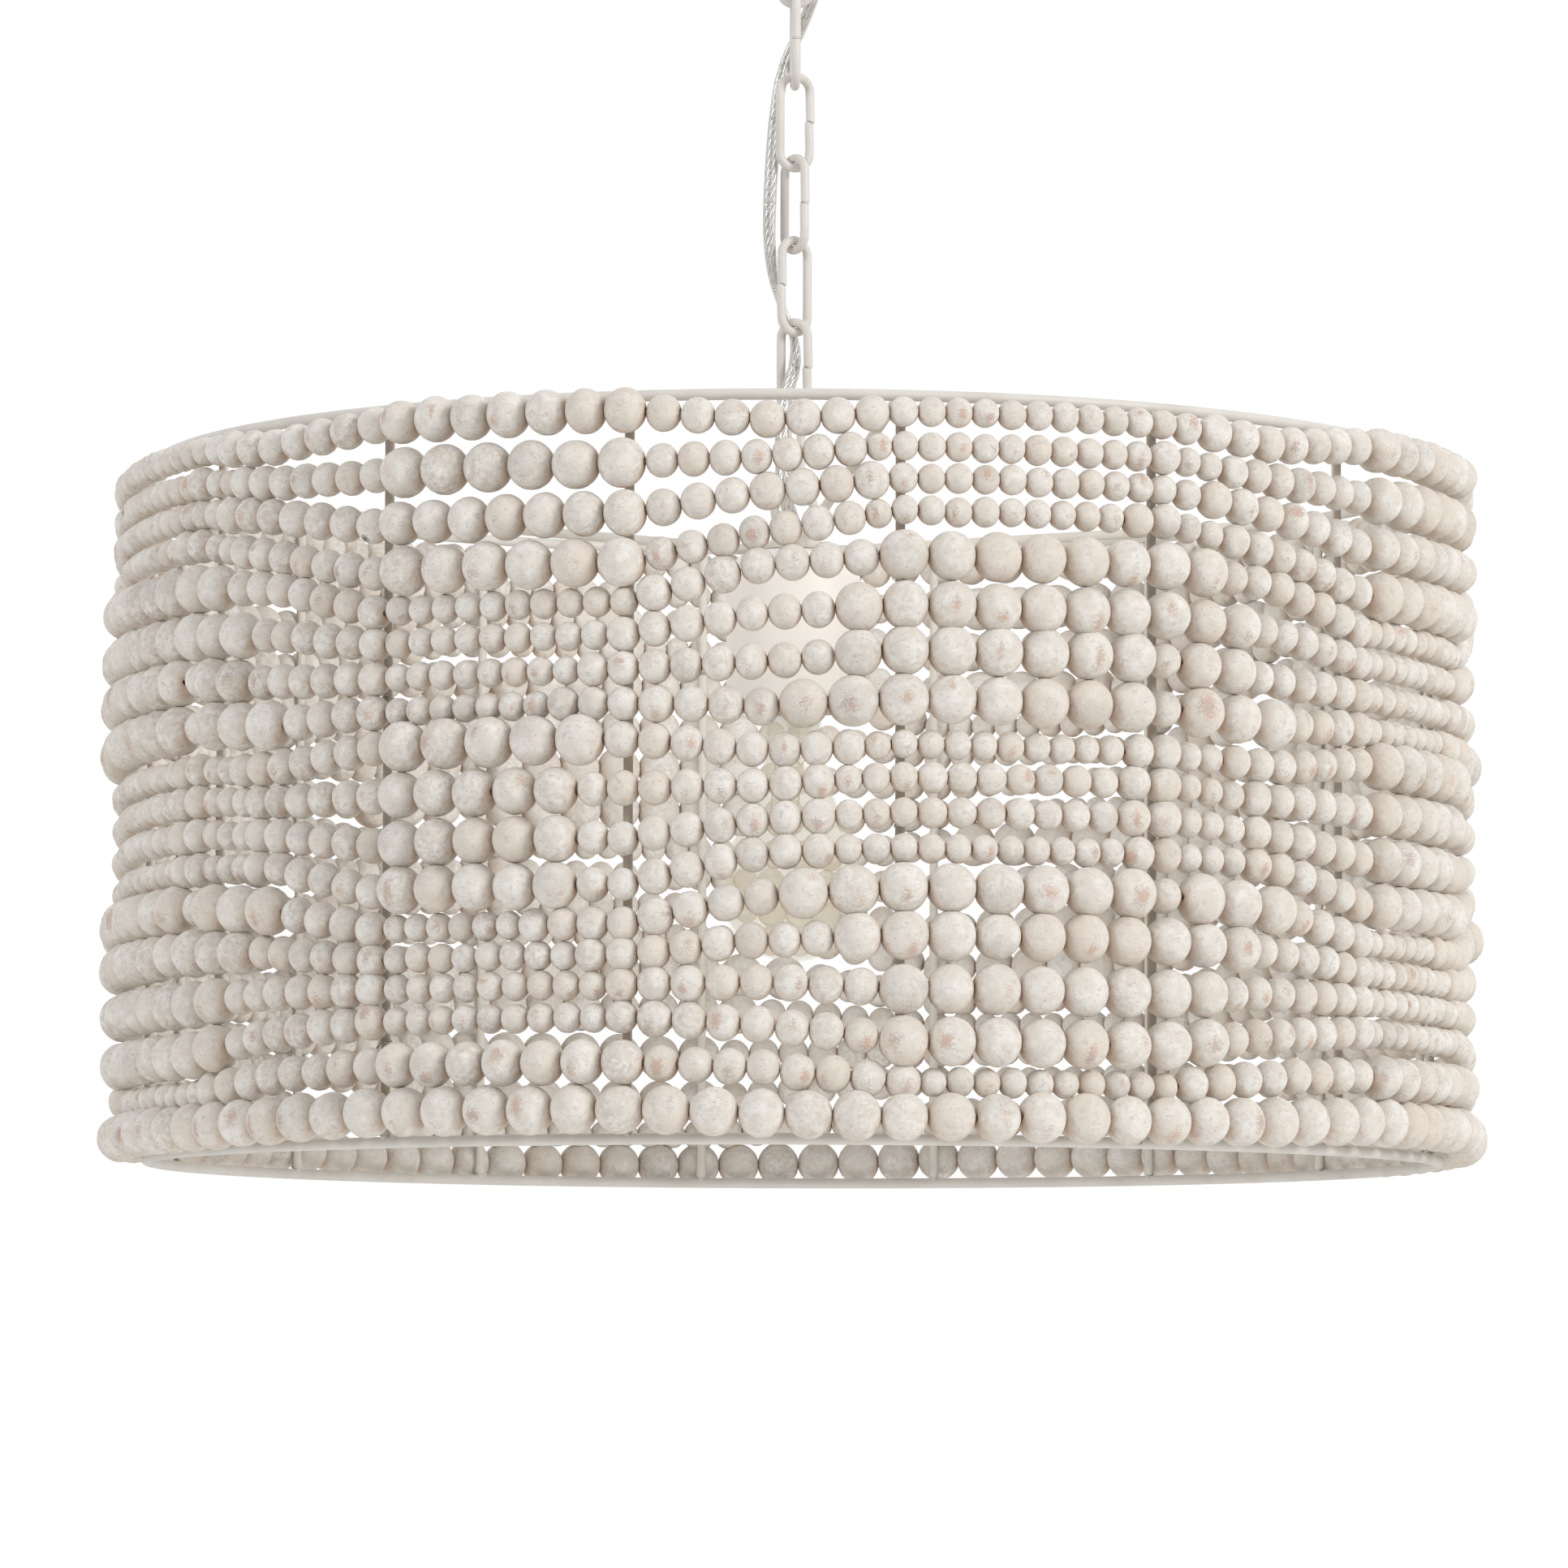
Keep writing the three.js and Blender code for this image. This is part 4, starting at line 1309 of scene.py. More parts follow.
def eye_ring(radius: float, wire: float, height: float, turn: float) -> np.ndarray:
    """A closed upright ring of round wire.

    Args:
        radius: Of its centreline, in millimetres.
        wire: The wire's diameter.
        height: Of its centre.
        turn: Its plane's direction about +Z.

    Returns:
        Rows by columns by three, in metres.
    """
    angle = np.arange(EYE_STEPS) * TURN / EYE_STEPS
    flat = radius * np.cos(angle)
    cosine, sine = math.cos(turn), math.sin(turn)
    path = np.stack([flat * cosine, flat * sine, height + radius * np.sin(angle)], axis=1) * MM
    return tube(path, wire / 2 * MM, 16, closed=True, up=(-sine, cosine, 0.0))


# Hub and lamp


@dataclass
class Hub:
    """What hangs from the last link: the hub loop, the spider's arms and the socket cup."""

    ring_height: float = TOP_RING
    eye_height: float = -318.5
    eye_radius: float = 9.5
    eye_wire: float = 4.0
    eye_turn: float = math.radians(152)
    boss_radius: float = 10.0
    boss_low: float = -334.5
    boss_height: float = 6.0
    neck_radius: float = 6.0
    neck_height: float = 3.0
    wire_bore: float = 3.2
    thread_bore: float = 5.15
    bore_depth: float = 5.0
    nipple_radius: float = 4.85
    nipple_length: float = 19.0
    disc_radius: float = 20.0
    disc_top: float = -334.8
    disc_thickness: float = 3.25
    arm_radius: float = 2.25
    arm_reach: float = 280.9
    arm_sag: float = 0.12
    arms: int = 3
    cup_radius: float = 29.75
    cup_top: float = -338.1
    cup_height: float = 70.4
    cup_wall: float = 0.8
    cup_rise: float = 14.0
    cup_flat: float = 18.0
    cup_margin: float = 6.0
    gap: float = 0.3

    def build(
        self,
        paint: bpy.types.Material,
        rib: bpy.types.Material,
        zinc: bpy.types.Material,
        lightened_cup_paint: bpy.types.Material,
    ) -> None:
        """Makes the hub's pieces.

        Args:
            paint: The look of the loop.
            rib: The look of the spider's arms.
            zinc: The look of the nipple.
            lightened_cup_paint: The look of the cup.
        """
        body = Body.DRUM.value
        carry(self._loop().build("hub_loop_eye", [paint]), body, Slot.PAINT, "hub_loop")
        top = self.boss_low + self.bore_depth - self.gap
        nipple = threaded(self.nipple_radius, self.wire_bore, top - self.nipple_length, top)
        carry(nipple.build("hub_nipple_thread", [zinc]), body, Slot.ZINC, "hub_nipple")
        carry(self._spider().build("spider_arms", [rib]), body, Slot.RIB, "spider")
        carry(self._cup().build("socket_cup_shell", [lightened_cup_paint]), body, Slot.PAINT, "socket_cup")

    def _loop(self) -> Form:
        """The boss with its neck and eye."""
        low, high = self.boss_low, self.boss_low + self.boss_height
        top = high + self.neck_height
        neck, boss = self.neck_radius, self.boss_radius
        profile = [(self.wire_bore, low + self.bore_depth), (self.wire_bore, top)]
        profile += rounded([
            (self.wire_bore + 0.1, top), (neck - 0.4, top - 0.2), (neck + 0.6, top - 1.2),
            (boss - 0.6, high), (boss, high - 0.8), (boss, low + 0.8), (boss - 0.8, low),
            (self.thread_bore, low),
        ], 0.7)
        profile.append((self.thread_bore, low + self.bore_depth))
        form = shell_of(profile[::-1], 56)
        eye = eye_ring(self.eye_radius, self.eye_wire, self.eye_height, self.eye_turn)
        form.grid(eye, closed=True)
        return form

    def _spider(self) -> Form:
        """The disc and the arms welded to it and reaching the top ring."""
        top, low = self.disc_top, self.disc_top - self.disc_thickness
        form = shell_of(rounded([
            (self.thread_bore, top), (self.thread_bore, low), (self.disc_radius, low),
            (self.disc_radius, top), (self.thread_bore + 0.1, top),
        ], 0.7))
        share = np.linspace(0.0, 1.0, 40)[:, None]
        sag = np.array([0.0, 0.0, -self.arm_sag]) * np.sin(share * math.pi)
        inner = self.disc_radius - self.arm_radius
        for i in range(self.arms):
            angle = FIRST_RIB + i * TURN / self.arms
            start = at_angle(angle, inner, low + self.disc_thickness / 2)
            end = at_angle(angle, self.arm_reach, self.ring_height)
            path = (start + (end - start) * share + sag) * MM
            form.grid(tube(path, self.arm_radius * MM, 16))
            form.grid(blob(path[1], 3.1, 2.2, i))
            form.grid(blob(path[-1] - (path[-1] - path[-2]) * 0.12, 2.5, 2.5, i + 7))
        return form

    def _cup(self) -> Form:
        """The cup's thin shell, its mouth edge rolled."""
        top = self.cup_top
        mouth, shoulder = top - self.cup_height, top - self.cup_rise
        wall, outer, inner = self.cup_wall, self.cup_radius, self.cup_radius - self.cup_wall
        reach = self.cup_radius - self.cup_flat
        first, last = mouth + self.cup_margin, shoulder - self.cup_margin
        middle = (self.cup_flat, shoulder)
        return shell_of([
            (inner, mouth + 0.3), (inner + 0.25, mouth + 0.02),
            (outer - 0.2, mouth + 0.02), (outer, mouth + 0.3),
            *((outer, z) for z in np.linspace(first, last, 5)),
            *bow(middle, reach, self.cup_rise, 0, 90, 20),
            (self.thread_bore + 0.2, top),
            (self.thread_bore, top - 0.2), (self.thread_bore, top - wall),
            *bow(middle, reach - wall, self.cup_rise - wall, 0, 90, 20)[::-1],
            *((inner, z) for z in np.linspace(last, first, 5)),
        ], 96)


def blob(place: np.ndarray, across: float, along: float, seed: int) -> np.ndarray:
    """A lumpy drop of weld.

    Args:
        place: Its middle, in metres.
        across: Its radius across, in millimetres.
        along: Its radius up and down.
        seed: What shapes its lumps.

    Returns:
        Rows by columns by three, in metres.
    """
    draw = random.Random(900 + seed)
    waves = [(draw.uniform(0, TURN), draw.uniform(0.05, 0.13)) for _ in range(3)]
    latitudes = np.linspace(-1.45, 1.45, 12)
    longitudes = np.arange(18) * TURN / 18
    lat, lon = np.meshgrid(latitudes, longitudes, indexing="ij")
    lump = 1.0 + sum(
        size * np.sin(lon * (k + 1) + start + lat * 1.7) for k, (start, size) in enumerate(waves)
    )
    lump = lump / (1.0 + sum(size for _, size in waves))
    x = across * np.cos(lat) * np.cos(lon) * lump
    y = across * np.cos(lat) * np.sin(lon) * lump
    z = along * np.sin(lat) * np.ones_like(lon)
    return np.asarray(place)[None, None, :] + np.stack([x, y, z], axis=-1) * MM


@dataclass
class Lamp:
    """Lamp holder, screw base and clear bulb."""

    socket_top: float = -339.2
    socket_low: float = -403.2
    socket_radius: float = 19.0
    cap_radius: float = 12.0
    cap_height: float = 7.0
    grips: int = 4
    grip_start: float = 15.0
    grip_pitch: float = 3.4
    grip_depth: float = 0.7
    nipple_bore: float = 5.15
    nipple_low: float = -349.1
    bore_radius: float = 13.8
    bore_top: float = -377.2
    base_top: float = -377.5
    base_low: float = -403.2
    base_radius: float = 13.5
    base_shoulder: float = 5.0
    base_sides: int = 72
    contact_radius: float = 5.0
    thread_pitch: float = 3.6
    thread_inset: float = 0.55
    thread_height: float = 0.5
    thread_rows: int = 60
    bulb_top: float = -398.2
    bulb_length: float = 122.0
    neck_radius: float = 12.4
    neck_length: float = 26.0
    belly_radius: float = 32.0
    glass_wall: float = 0.9
    stem_top: float = -399.7
    stem_length: float = 56.0
    posts: int = 8
    post_wire: float = 0.18
    filament_wire: float = 0.16

    def build(
        self,
        resin: bpy.types.Material,
        brass: bpy.types.Material,
        glass: bpy.types.Material,
        wire: bpy.types.Material,
    ) -> None:
        """Makes the lamp's pieces.

        Args:
            resin: The look of the holder.
            brass: The look of the screw base.
            glass: The look of the bulb and its stem.
            wire: The look of the filament and its supports.
        """
        body = Body.DRUM.value
        carry(self._socket().build("socket_body", [resin]), body, Slot.RESIN, "lamp_socket")
        carry(self._base().build("screw_base", [brass]), body, Slot.BRASS, "bulb_base")
        carry(self._bulb().build("bulb_envelope", [glass]), body, Slot.GLASS, "bulb_glass")
        carry(self._stem().build("bulb_stem_glass", [glass, wire]), body, Slot.GLASS, "bulb_stem")

    def _socket(self) -> Form:
        """The holder, with shallow grips round its body."""
        low, high = self.socket_low, self.socket_top
        side, bore = self.socket_radius, self.bore_radius
        deep = side - self.grip_depth
        profile = [(self.nipple_bore, self.nipple_low), (self.nipple_bore, high)]
        profile += rounded([
            (self.nipple_bore + 0.1, high), (self.cap_radius, high),
            (side, high - self.cap_height), (side, low + 16.0),
        ], 1.4)
        for ring in range(self.grips):
            base = low + self.grip_start - ring * self.grip_pitch
            profile += [(side, base), (deep, base - 0.7), (deep, base - 1.9), (side, base - 2.6)]
        profile += rounded([(side, low + 1.0), (side, low), (bore, low), (bore, low + 1.5)], 0.8)
        profile += [(bore, self.bore_top), (0.02, self.bore_top), (0.02, self.nipple_low)]
        return shell_of(profile[::-1], 72)

    def _base(self) -> Form:
        """The screw shell with its rolled thread and contact."""
        sides = self.base_sides
        top, low, shoulder = self.base_top, self.base_low, self.base_top - self.base_shoulder
        root = self.base_radius - self.thread_inset
        heights = np.linspace(low + 0.2, shoulder, self.thread_rows)
        angle = np.arange(sides) * TURN / sides
        wave = np.cos((heights[:, None] / self.thread_pitch) * TURN - angle[None, :])
        fade = np.clip((heights - low - 1.5) / 3.0, 0, 1)
        fade = fade * np.clip((shoulder - heights) / 2.0, 0, 1)
        reach = root + wave * self.thread_height * fade[:, None]
        rows = np.broadcast_to(heights[:, None], reach.shape)
        shell = np.stack([reach * np.cos(angle), reach * np.sin(angle), rows], axis=-1) * MM
        crown = turned(rounded([
            (root, shoulder), (self.contact_radius + 1.5, top - 1.2),
            (self.contact_radius, top - 0.8), (self.contact_radius - 0.4, top), (0.05, top),
        ], 0.8), sides)
        inner = turned([
            (0.05, shoulder - 0.1), (self.base_radius - 1.6, shoulder - 0.1),
            (self.base_radius - 1.6, low + 0.2),
        ], sides)
        form = Form()
        form.grid(np.concatenate([shell, crown, inner]), closed=True)
        return form

    def _outline(self, inset: float) -> list[Pair]:
        """The bulb's outline from the neck to the tip, drawn in by inset."""
        neck = self.bulb_top - self.neck_length
        belly = self.bulb_top - self.bulb_length + self.belly_radius
        slim, wide = self.neck_radius - inset, self.belly_radius - inset
        points = [(slim, self.bulb_top - 0.05 - inset * 0.2)]
        points += [(slim, z) for z in np.linspace(self.bulb_top - 6, neck + 4, 4)]
        for share in np.linspace(0.0, 1.0, 26)[:-1]:
            swell = share * share * (3 - 2 * share)
            radius = self.neck_radius + (self.belly_radius - self.neck_radius) * swell
            points.append((radius - inset, neck + (belly - neck) * share))
        return points + bow((0.0, belly), wide, wide, 0.0, -89.0, 26)

    def _bulb(self) -> Form:
        """The glass envelope as a thin closed shell."""
        return shell_of(self._outline(0.0)[::-1] + self._outline(self.glass_wall), 96)

    def _stem(self) -> Form:
        """The stem, its support wires and a zigzag filament."""
        top, tip = self.stem_top, self.stem_top - self.stem_length
        profile = rounded([
            (11.0, top), (8.0, top - 2.5), (3.4, top - 9.0), (3.0, top - 12.0),
            (3.0, tip + 4.5), (4.3, tip + 3.2), (4.4, tip + 1.2), (3.0, tip + 0.1), (0.05, tip),
        ], 2.0)
        form = Form()
        form.grid(turned([(0.05, top), *profile][::-1], 40))

        # Root, first step, reach and end of the posts that go up and of those that go down
        kinds = ((tip + 2.0, 1.0, 10.5, tip - 6.0), (tip + 24.0, -1.0, 9.0, tip + 30.0))
        corners = []
        for i in range(self.posts + 1):
            angle = i * TURN / self.posts
            root, step, reach, end = kinds[i % 2]
            corners.append(at_angle(angle, reach, end))
            if i < self.posts:
                way = ((2.5, root), (5.0, root + step), (8.0, (root + end) / 2), (reach, end))
                path = smooth_through([at_angle(angle, r, z) for r, z in way], 16) * MM
                form.grid(tube(path, self.post_wire * MM, 8), look=1)
        path = smooth_through(corners, 200) * MM
        form.grid(tube(path, self.filament_wire * MM, 6), look=1)
        return form


# Drum frame


def rib_angle(rib: float | np.ndarray) -> float | np.ndarray:
    """The angle of a rib, or of places counted in bays from the first rib."""
    return FIRST_RIB + rib * TURN / RIBS


@dataclass
class DrumFrame:
    """The two rings and the ribs between them, with their welds and the wires tied round them."""

    radius: float = 284.0
    height: float = 304.0
    ring_wire: float = 4.74
    ring_steps: int = 384
    rib_wire: float = 4.0
    rib_steps: int = 60
    rib_wobble: float = 0.12
    rib_flare: float = 0.22
    weld_size: float = 2.6
    weld_offset: float = 1.2
    gap: float = 0.3
    tie_radius: float = 0.3
    tie_turns: float = 2.2
    tie_rise: float = 0.8
    twist_turns: float = 3.0
    ties: tuple[tuple[int, float], ...] = (
        (0, -176.5), (0, -196.0), (1, -170.0), (1, -290.0), (-1, -60.0), (-1, -236.0),
        (-2, -120.0), (2, -90.0), (2, -225.0), (-2, -262.0), (3, -150.0), (-3, -205.0),
        (5, -110.0), (7, -180.0), (8, -60.0), (10, -240.0),
    )

    def build(
        self, paint: bpy.types.Material, rib_paint: bpy.types.Material, wire: bpy.types.Material
    ) -> None:
        """Makes rings, ribs and ties.

        Args:
            paint: The look of the rings.
            rib_paint: The look of the ribs.
            wire: The look of the binding wire.
        """
        body = Body.DRUM.value
        rings = (("top", TOP_RING, -1, 20), ("bottom", TOP_RING - self.height, 1, 40))
        for name, height, sign, seed in rings:
            arcs = (f"{name}_ring_01", f"{name}_ring_02")
            ring = self._ring(height, sign, seed).build(f"{name}_ring_wire", [paint])
            carry(ring, body, Slot.PAINT, *arcs)
        for number in range(RIBS):
            name = f"rib_{number + 1:02d}"
            rib = self._rib(number).build(f"{name}_wire", [rib_paint])
            carry(rib, body, Slot.RIB, name)
        ties = Form()
        for number, (rib, drop) in enumerate(self.ties):
            self._tie(ties, number, rib, drop)
        carry(ties.build("binding_wires", [wire]), body, Slot.ZINC)

    def _ring(self, height: float, sign: int, seed: int) -> Form:
        """A ring of round wire with a weld at each rib.

        Args:
            height: Of its centreline.
            sign: The side that its ribs come from, 1 for above and -1 for below.
            seed: Of its welds' lumps.

        Returns:
            The ring.
        """
        form = Form()
        angles = np.arange(self.ring_steps) * TURN / self.ring_steps
        path = np.array([at_angle(a, self.radius, height) for a in angles]) * MM
        form.grid(tube(path, self.ring_wire / 2 * MM, 18, closed=True, up=(0, 0, 1)), closed=True)
        for i in range(RIBS):
            place = at_angle(rib_angle(i), self.radius, height + sign * self.weld_offset) * MM
            form.grid(blob(place, self.weld_size, self.weld_size, i + seed))
        return form

    def _rib(self, number: int) -> Form:
        """A rib that is bent a little and thickens towards its welds."""
        draw = random.Random(60 + number)
        reach = self.ring_wire / 2 + self.gap
        heights = np.linspace(TOP_RING - reach, TOP_RING - self.height + reach, self.rib_steps)
        share = np.linspace(0.0, 1.0, self.rib_steps)
        waves = share * TURN * draw.uniform(1.0, 2.2) + draw.uniform(0, TURN)
        wobble = self.rib_wobble * np.sin(waves)
        angle = rib_angle(number)
        path = np.array([
            at_angle(angle, self.radius + w * math.sin(math.pi * s), z)
            for w, s, z in zip(wobble, share, heights)
        ]) * MM
        ends = np.exp(-share * 60) + np.exp(-(1 - share) * 60)
        form = Form()
        form.grid(tube(path, self.rib_wire / 2 * (1.0 + self.rib_flare * ends) * MM, 16))
        return form

    def _tie(self, form: Form, number: int, rib: int, drop: float) -> None:
        """Adds a thin wire tied round a rib, its two ends twisted together.

        Args:
            form: The ties' form.
            number: The tie's number, which seeds its bend.
            rib: The rib.
            drop: Its height under the top ring.
        """
        draw = random.Random(300 + number)
        angle = rib_angle(rib)
        outward = at_angle(angle, 1.0, 0.0)
        aside = np.array([math.cos(angle), math.sin(angle), 0.0])
        centre = at_angle(angle, self.radius, TOP_RING + drop)

        def around(middle: np.ndarray, turns: np.ndarray, reach: float | np.ndarray) -> np.ndarray:
            """Places on a circle round the middle, in the level plane."""
            level = np.outer(np.cos(turns) * reach, outward)
            return middle + level + np.outer(np.sin(turns) * reach, aside)

        turns = np.linspace(0.0, TURN * self.tie_turns, 60)
        reach = self.rib_wire / 2 + self.tie_radius + 0.05
        coil = around(centre, turns, reach)
        coil[:, 2] += np.linspace(-self.tie_rise, self.tie_rise, len(turns))
        form.grid(tube(coil * MM, self.tie_radius * MM, 8))
        lean = draw.uniform(-0.6, 0.6)
        length = draw.uniform(9.0, 15.0)
        spin = np.linspace(0.0, TURN * self.twist_turns, 50)
        share = np.linspace(0.0, 1.0, 50)
        fall = aside * lean - np.array([0, 0, 1.0])
        spine = centre + outward * reach + np.outer(share * length, fall)
        spine += np.outer(np.sin(share * 2.2) * 2.0, outward)
        for side in (0.0, math.pi):
            path = around(spine, spin + side, 0.33 * (1.0 - 0.3 * share))
            form.grid(tube(path * MM, self.tie_radius * MM, 8))


# Beads


@dataclass(frozen=True)
class BeadKind:
    """One size of bead, in millimetres."""

    length: float
    radius: float
    lie: float
    bore: float
    flat: float
    arc_points: int
    sides: int

    def profile(self) -> tuple[np.ndarray, np.ndarray, np.ndarray]:
        """Outline once round the bead's section, through its bore.

        Returns:
            Places along the bore and radii, as shares of half the length and of the radius, and
            how near each point is to the bore's mouth.
        """
        flat = self.flat / self.radius
        steep = math.acos(flat)
        reach = np.linspace(-steep, steep, self.arc_points)
        along = list(np.sin(reach) / math.sin(steep))
        out = list(np.cos(reach))
        near = [max(0.0, abs(a) - 0.80) / 0.20 * 0.7 for a in along]
        bore = self.bore / self.radius
        mouth = (flat + bore) / 2
        along += [1.0, 0.975, 0.9, 0.0, -0.9, -0.975, -1.0]
        out += [mouth * 1.15, bore * 1.15, bore, bore, bore, bore * 1.15, mouth * 1.15]
        near += [0.9, 1.0, 1.0, 1.0, 1.0, 1.0, 0.9]
        return np.array(along), np.array(out), np.array(near)


def spread(values: np.ndarray) -> np.ndarray:
    """One value for each bead, shaped to combine with every point of its grid."""
    return values[:, None, None]


def rotated(
    first: np.ndarray, second: np.ndarray, angle: np.ndarray
) -> tuple[np.ndarray, np.ndarray]:
    """Two coordinates of all beads, each bead turned by its own angle in radians."""
    cosine, sine = spread(np.cos(angle)), spread(np.sin(angle))
    return first * cosine - second * sine, first * sine + second * cosine


KINDS = {
    "L": BeadKind(19.3, 10.55, 295.5, 1.1, 2.5, 15, 24),
    "M": BeadKind(13.6, 7.75, 293.3, 1.0, 2.1, 13, 20),
    "S": BeadKind(11.5, 6.5, 292.2, 0.9, 1.8, 11, 18),
}


class Block(Enum):
    """What a bay between two ribs holds."""

    SMALL = "small"
    BETWEEN = "between"
    LARGE = "large"


@dataclass(frozen=True)
class Unevenness:
    """How far beads stray from their kind's size and place, in radians, shares and millimetres."""

    tilt: float = 0.03
    swing: float = 0.025
    straight: float = 0.95
    crooked: Pair = (0.10, 0.18)
    shrink: float = 0.022
    smallest: float = 0.06
    oval: float = 0.035
    lean: float = 0.05
    lie: float = 0.12
    furthest: float = 0.15
    drop: float = 0.16


@dataclass(frozen=True)
class Wear:
    """How many beads are worn, crusted or scorched, and how strongly."""

    sound: float = 0.30
    faint: float = 0.68
    faint_share: Pair = (0.25, 0.55)
    bare_share: Pair = (0.65, 1.15)
    plain: float = 0.80
    crust_share: Pair = (0.4, 1.0)
    crust_width: float = 0.9
    unburnt: float = 0.997
    scorch_size: Pair = (0.38, 0.32)


@dataclass
class BeadRows:
    """Eighteen rows of wooden beads in blocks of alternating size, outside the ribs."""

    small_first: tuple[str, ...] = (
        "SSSSSSSSSS", "SSSSSSSSSM", "SSSSSSSSSS", "SSSSSSSSMM", "LLLLLL", "LLLLLL",
        "LLLLLM", "LLLLLM", "SSSSSSSSMM", "SSSSSSSMM", "SSSSSSSMM", "SSSSSSSSMM",
        "LLLLLM", "LLLLLL", "LLLLLL", "LLLLLL", "SSSSSSSSSS", "LLLLLL",
    )
    large_first: tuple[str, ...] = (
        "LLLLLLL", "LLLLLL", "LLLLLLL", "LLLLLL", "SSSSSSSSSS", "SSSSSSSSSM",
        "SSSSSSSSMM", "SSSSSSSMMM", "LLLLLM", "LLLLLMM", "LLLLLMM", "LLLLLMM",
        "SSSSSSMMMM", "SSSSSSSSMM", "SSSSSSSSSM", "SSSSSSSSSM", "LLLLLLL", "LLLLLL",
    )
    between: tuple[str, ...] = (
        "MMMMMMMS", "MMMMMMMSS", "MMMMMMMS", "MMMMMMMSS", "MMMMMMML", "MMMMMMLL",
        "MMMMMMLL", "MMMMLLL", "MMMMMMMSS", "MMMMMMSSS", "MMMMMMSSS", "MMMMMMSSS",
        "MMMMLLL", "MMMMMMLL", "MMMMMMML", "MMMMMMML", "MMMMMMMM", "LLLLLL",
    )
    heights_large: tuple[float, ...] = (
        -7.3, -28.5, -49.5, -69.3, -85.3, -98.7, -113.0, -127.0, -141.7,
        -161.9, -181.9, -200.8, -216.7, -229.3, -241.6, -254.8, -273.0, -292.2,
    )
    heights_between: tuple[float, ...] = (
        -11.8, -26.8, -41.1, -57.7, -70.9, -90.8, -110.7, -128.9, -147.1,
        -160.9, -175.1, -188.3, -206.4, -223.9, -241.0, -258.1, -275.5, -294.2,
    )
    heights_small: tuple[float, ...] = (
        -7.7, -21.8, -34.8, -48.1, -66.8, -87.4, -105.7, -125.7, -143.9,
        -157.2, -171.4, -186.0, -202.6, -221.7, -243.2, -264.7, -281.1, -295.3,
    )
    wire_radius: float = 0.45
    wire_steps: int = 320
    slack: float = 0.992
    cycle: tuple[Block, ...] = (Block.SMALL, Block.BETWEEN, Block.LARGE, Block.BETWEEN)
    uneven: Unevenness = Unevenness()
    wear: Wear = Wear()
    seed: int = 41

    def _block(self, bay: int) -> Block:
        """What a bay holds."""
        return self.cycle[bay % len(self.cycle)]

    def _pattern(self, row: int, bay: int) -> str:
        """The beads of one row in one bay, from its left rib to its right one."""
        block = self._block(bay)
        if block is Block.SMALL:
            return self.small_first[row]
        if block is Block.LARGE:
            return self.large_first[row]
        towards_small = self._block(bay + 1) is Block.SMALL
        return self.between[row] if towards_small else self.between[row][::-1]

    def _rib_height(self, row: int, rib: int) -> float:
        """The row's height at a rib, that of the blocked bay beside it."""
        bay = rib - 1 if self._block(rib) is Block.BETWEEN else rib
        small = self._block(bay) is Block.SMALL
        return (self.heights_small if small else self.heights_large)[row]

    def height_at(self, row: int, place: np.ndarray) -> np.ndarray:
        """The row's height at places counted in bays from the first rib.

        Args:
            row: The row.
            place: The places.

        Returns:
            Heights under the top ring's plane, in millimetres.
        """
        knots = []
        heights = []
        for bay in range(-2, RIBS + 2):
            left, right = self._rib_height(row, bay), self._rib_height(row, bay + 1)
            middle = (left + right) / 2
            if self._block(bay) is Block.BETWEEN:
                middle = self.heights_between[row]
            knots += [bay + 0.0, bay + 0.5]
            heights += [left, middle]
        return np.interp(place, knots, heights)

    def _lay(self, row: int, draw: random.Random) -> list[tuple[str, float, float]]:
        """Where the beads of a row lie.

        Args:
            row: The row.
            draw: The row's own random source.

        Returns:
            For each bead its kind, its place in bays and its width in radians.
        """
        beads = []
        bay_width = TURN / RIBS
        for bay in range(RIBS):
            pattern = self._pattern(row, bay)
            widths = [KINDS[c].length * draw.uniform(0.97, 1.03) / KINDS[c].lie for c in pattern]
            before = KINDS[self._pattern(row, bay - 1)[-1]]
            at = before.length / before.lie / 2
            stretch = (bay_width - at + widths[-1] / 2) / sum(widths)
            for kind, width in zip(pattern, widths):
                wide = width * stretch
                beads.append((kind, bay + (at + wide / 2) / bay_width, wide))
                at += wide
        return beads

    def build(self, wood: bpy.types.Material, wire: bpy.types.Material) -> None:
        """Makes one object for each row.

        Args:
            wood: The look of the beads.
            wire: The look of the wire through them.
        """
        for row in range(len(self.heights_large)):
            chance = np.random.default_rng(self.seed + row)
            beads = self._lay(row, random.Random(self.seed + row))
            form = Form()
            for name, kind in KINDS.items():
                chosen = [(place, wide) for key, place, wide in beads if key == name]
                if chosen:
                    self._beads(form, row, kind, np.array(chosen), chance)
            self._wire(form, row, beads)
            made = form.build(f"bead_row_{row + 1:02d}", [wood, wire])
            carry(made, Body.DRUM.value, Slot.WOOD, f"bead_strand_{row + 1:02d}")

    def _wire(self, form: Form, row: int, beads: list[tuple[str, float, float]]) -> None:
        """Adds the wire that the row is threaded on, through the middle of its beads."""
        place = np.arange(self.wire_steps) * RIBS / self.wire_steps
        lies = np.array([KINDS[kind].lie for kind, _, _ in beads])
        reach = np.interp(place, [at for _, at, _ in beads], lies, period=RIBS)
        heights = self.height_at(row, place) + TOP_RING
        sites = zip(rib_angle(place), reach, heights)
        path = np.array([at_angle(*site) for site in sites]) * MM
        skin = tube(path, self.wire_radius * MM, 6, closed=True, up=(0, 0, 1))
        form.grid(skin, closed=True, look=1)

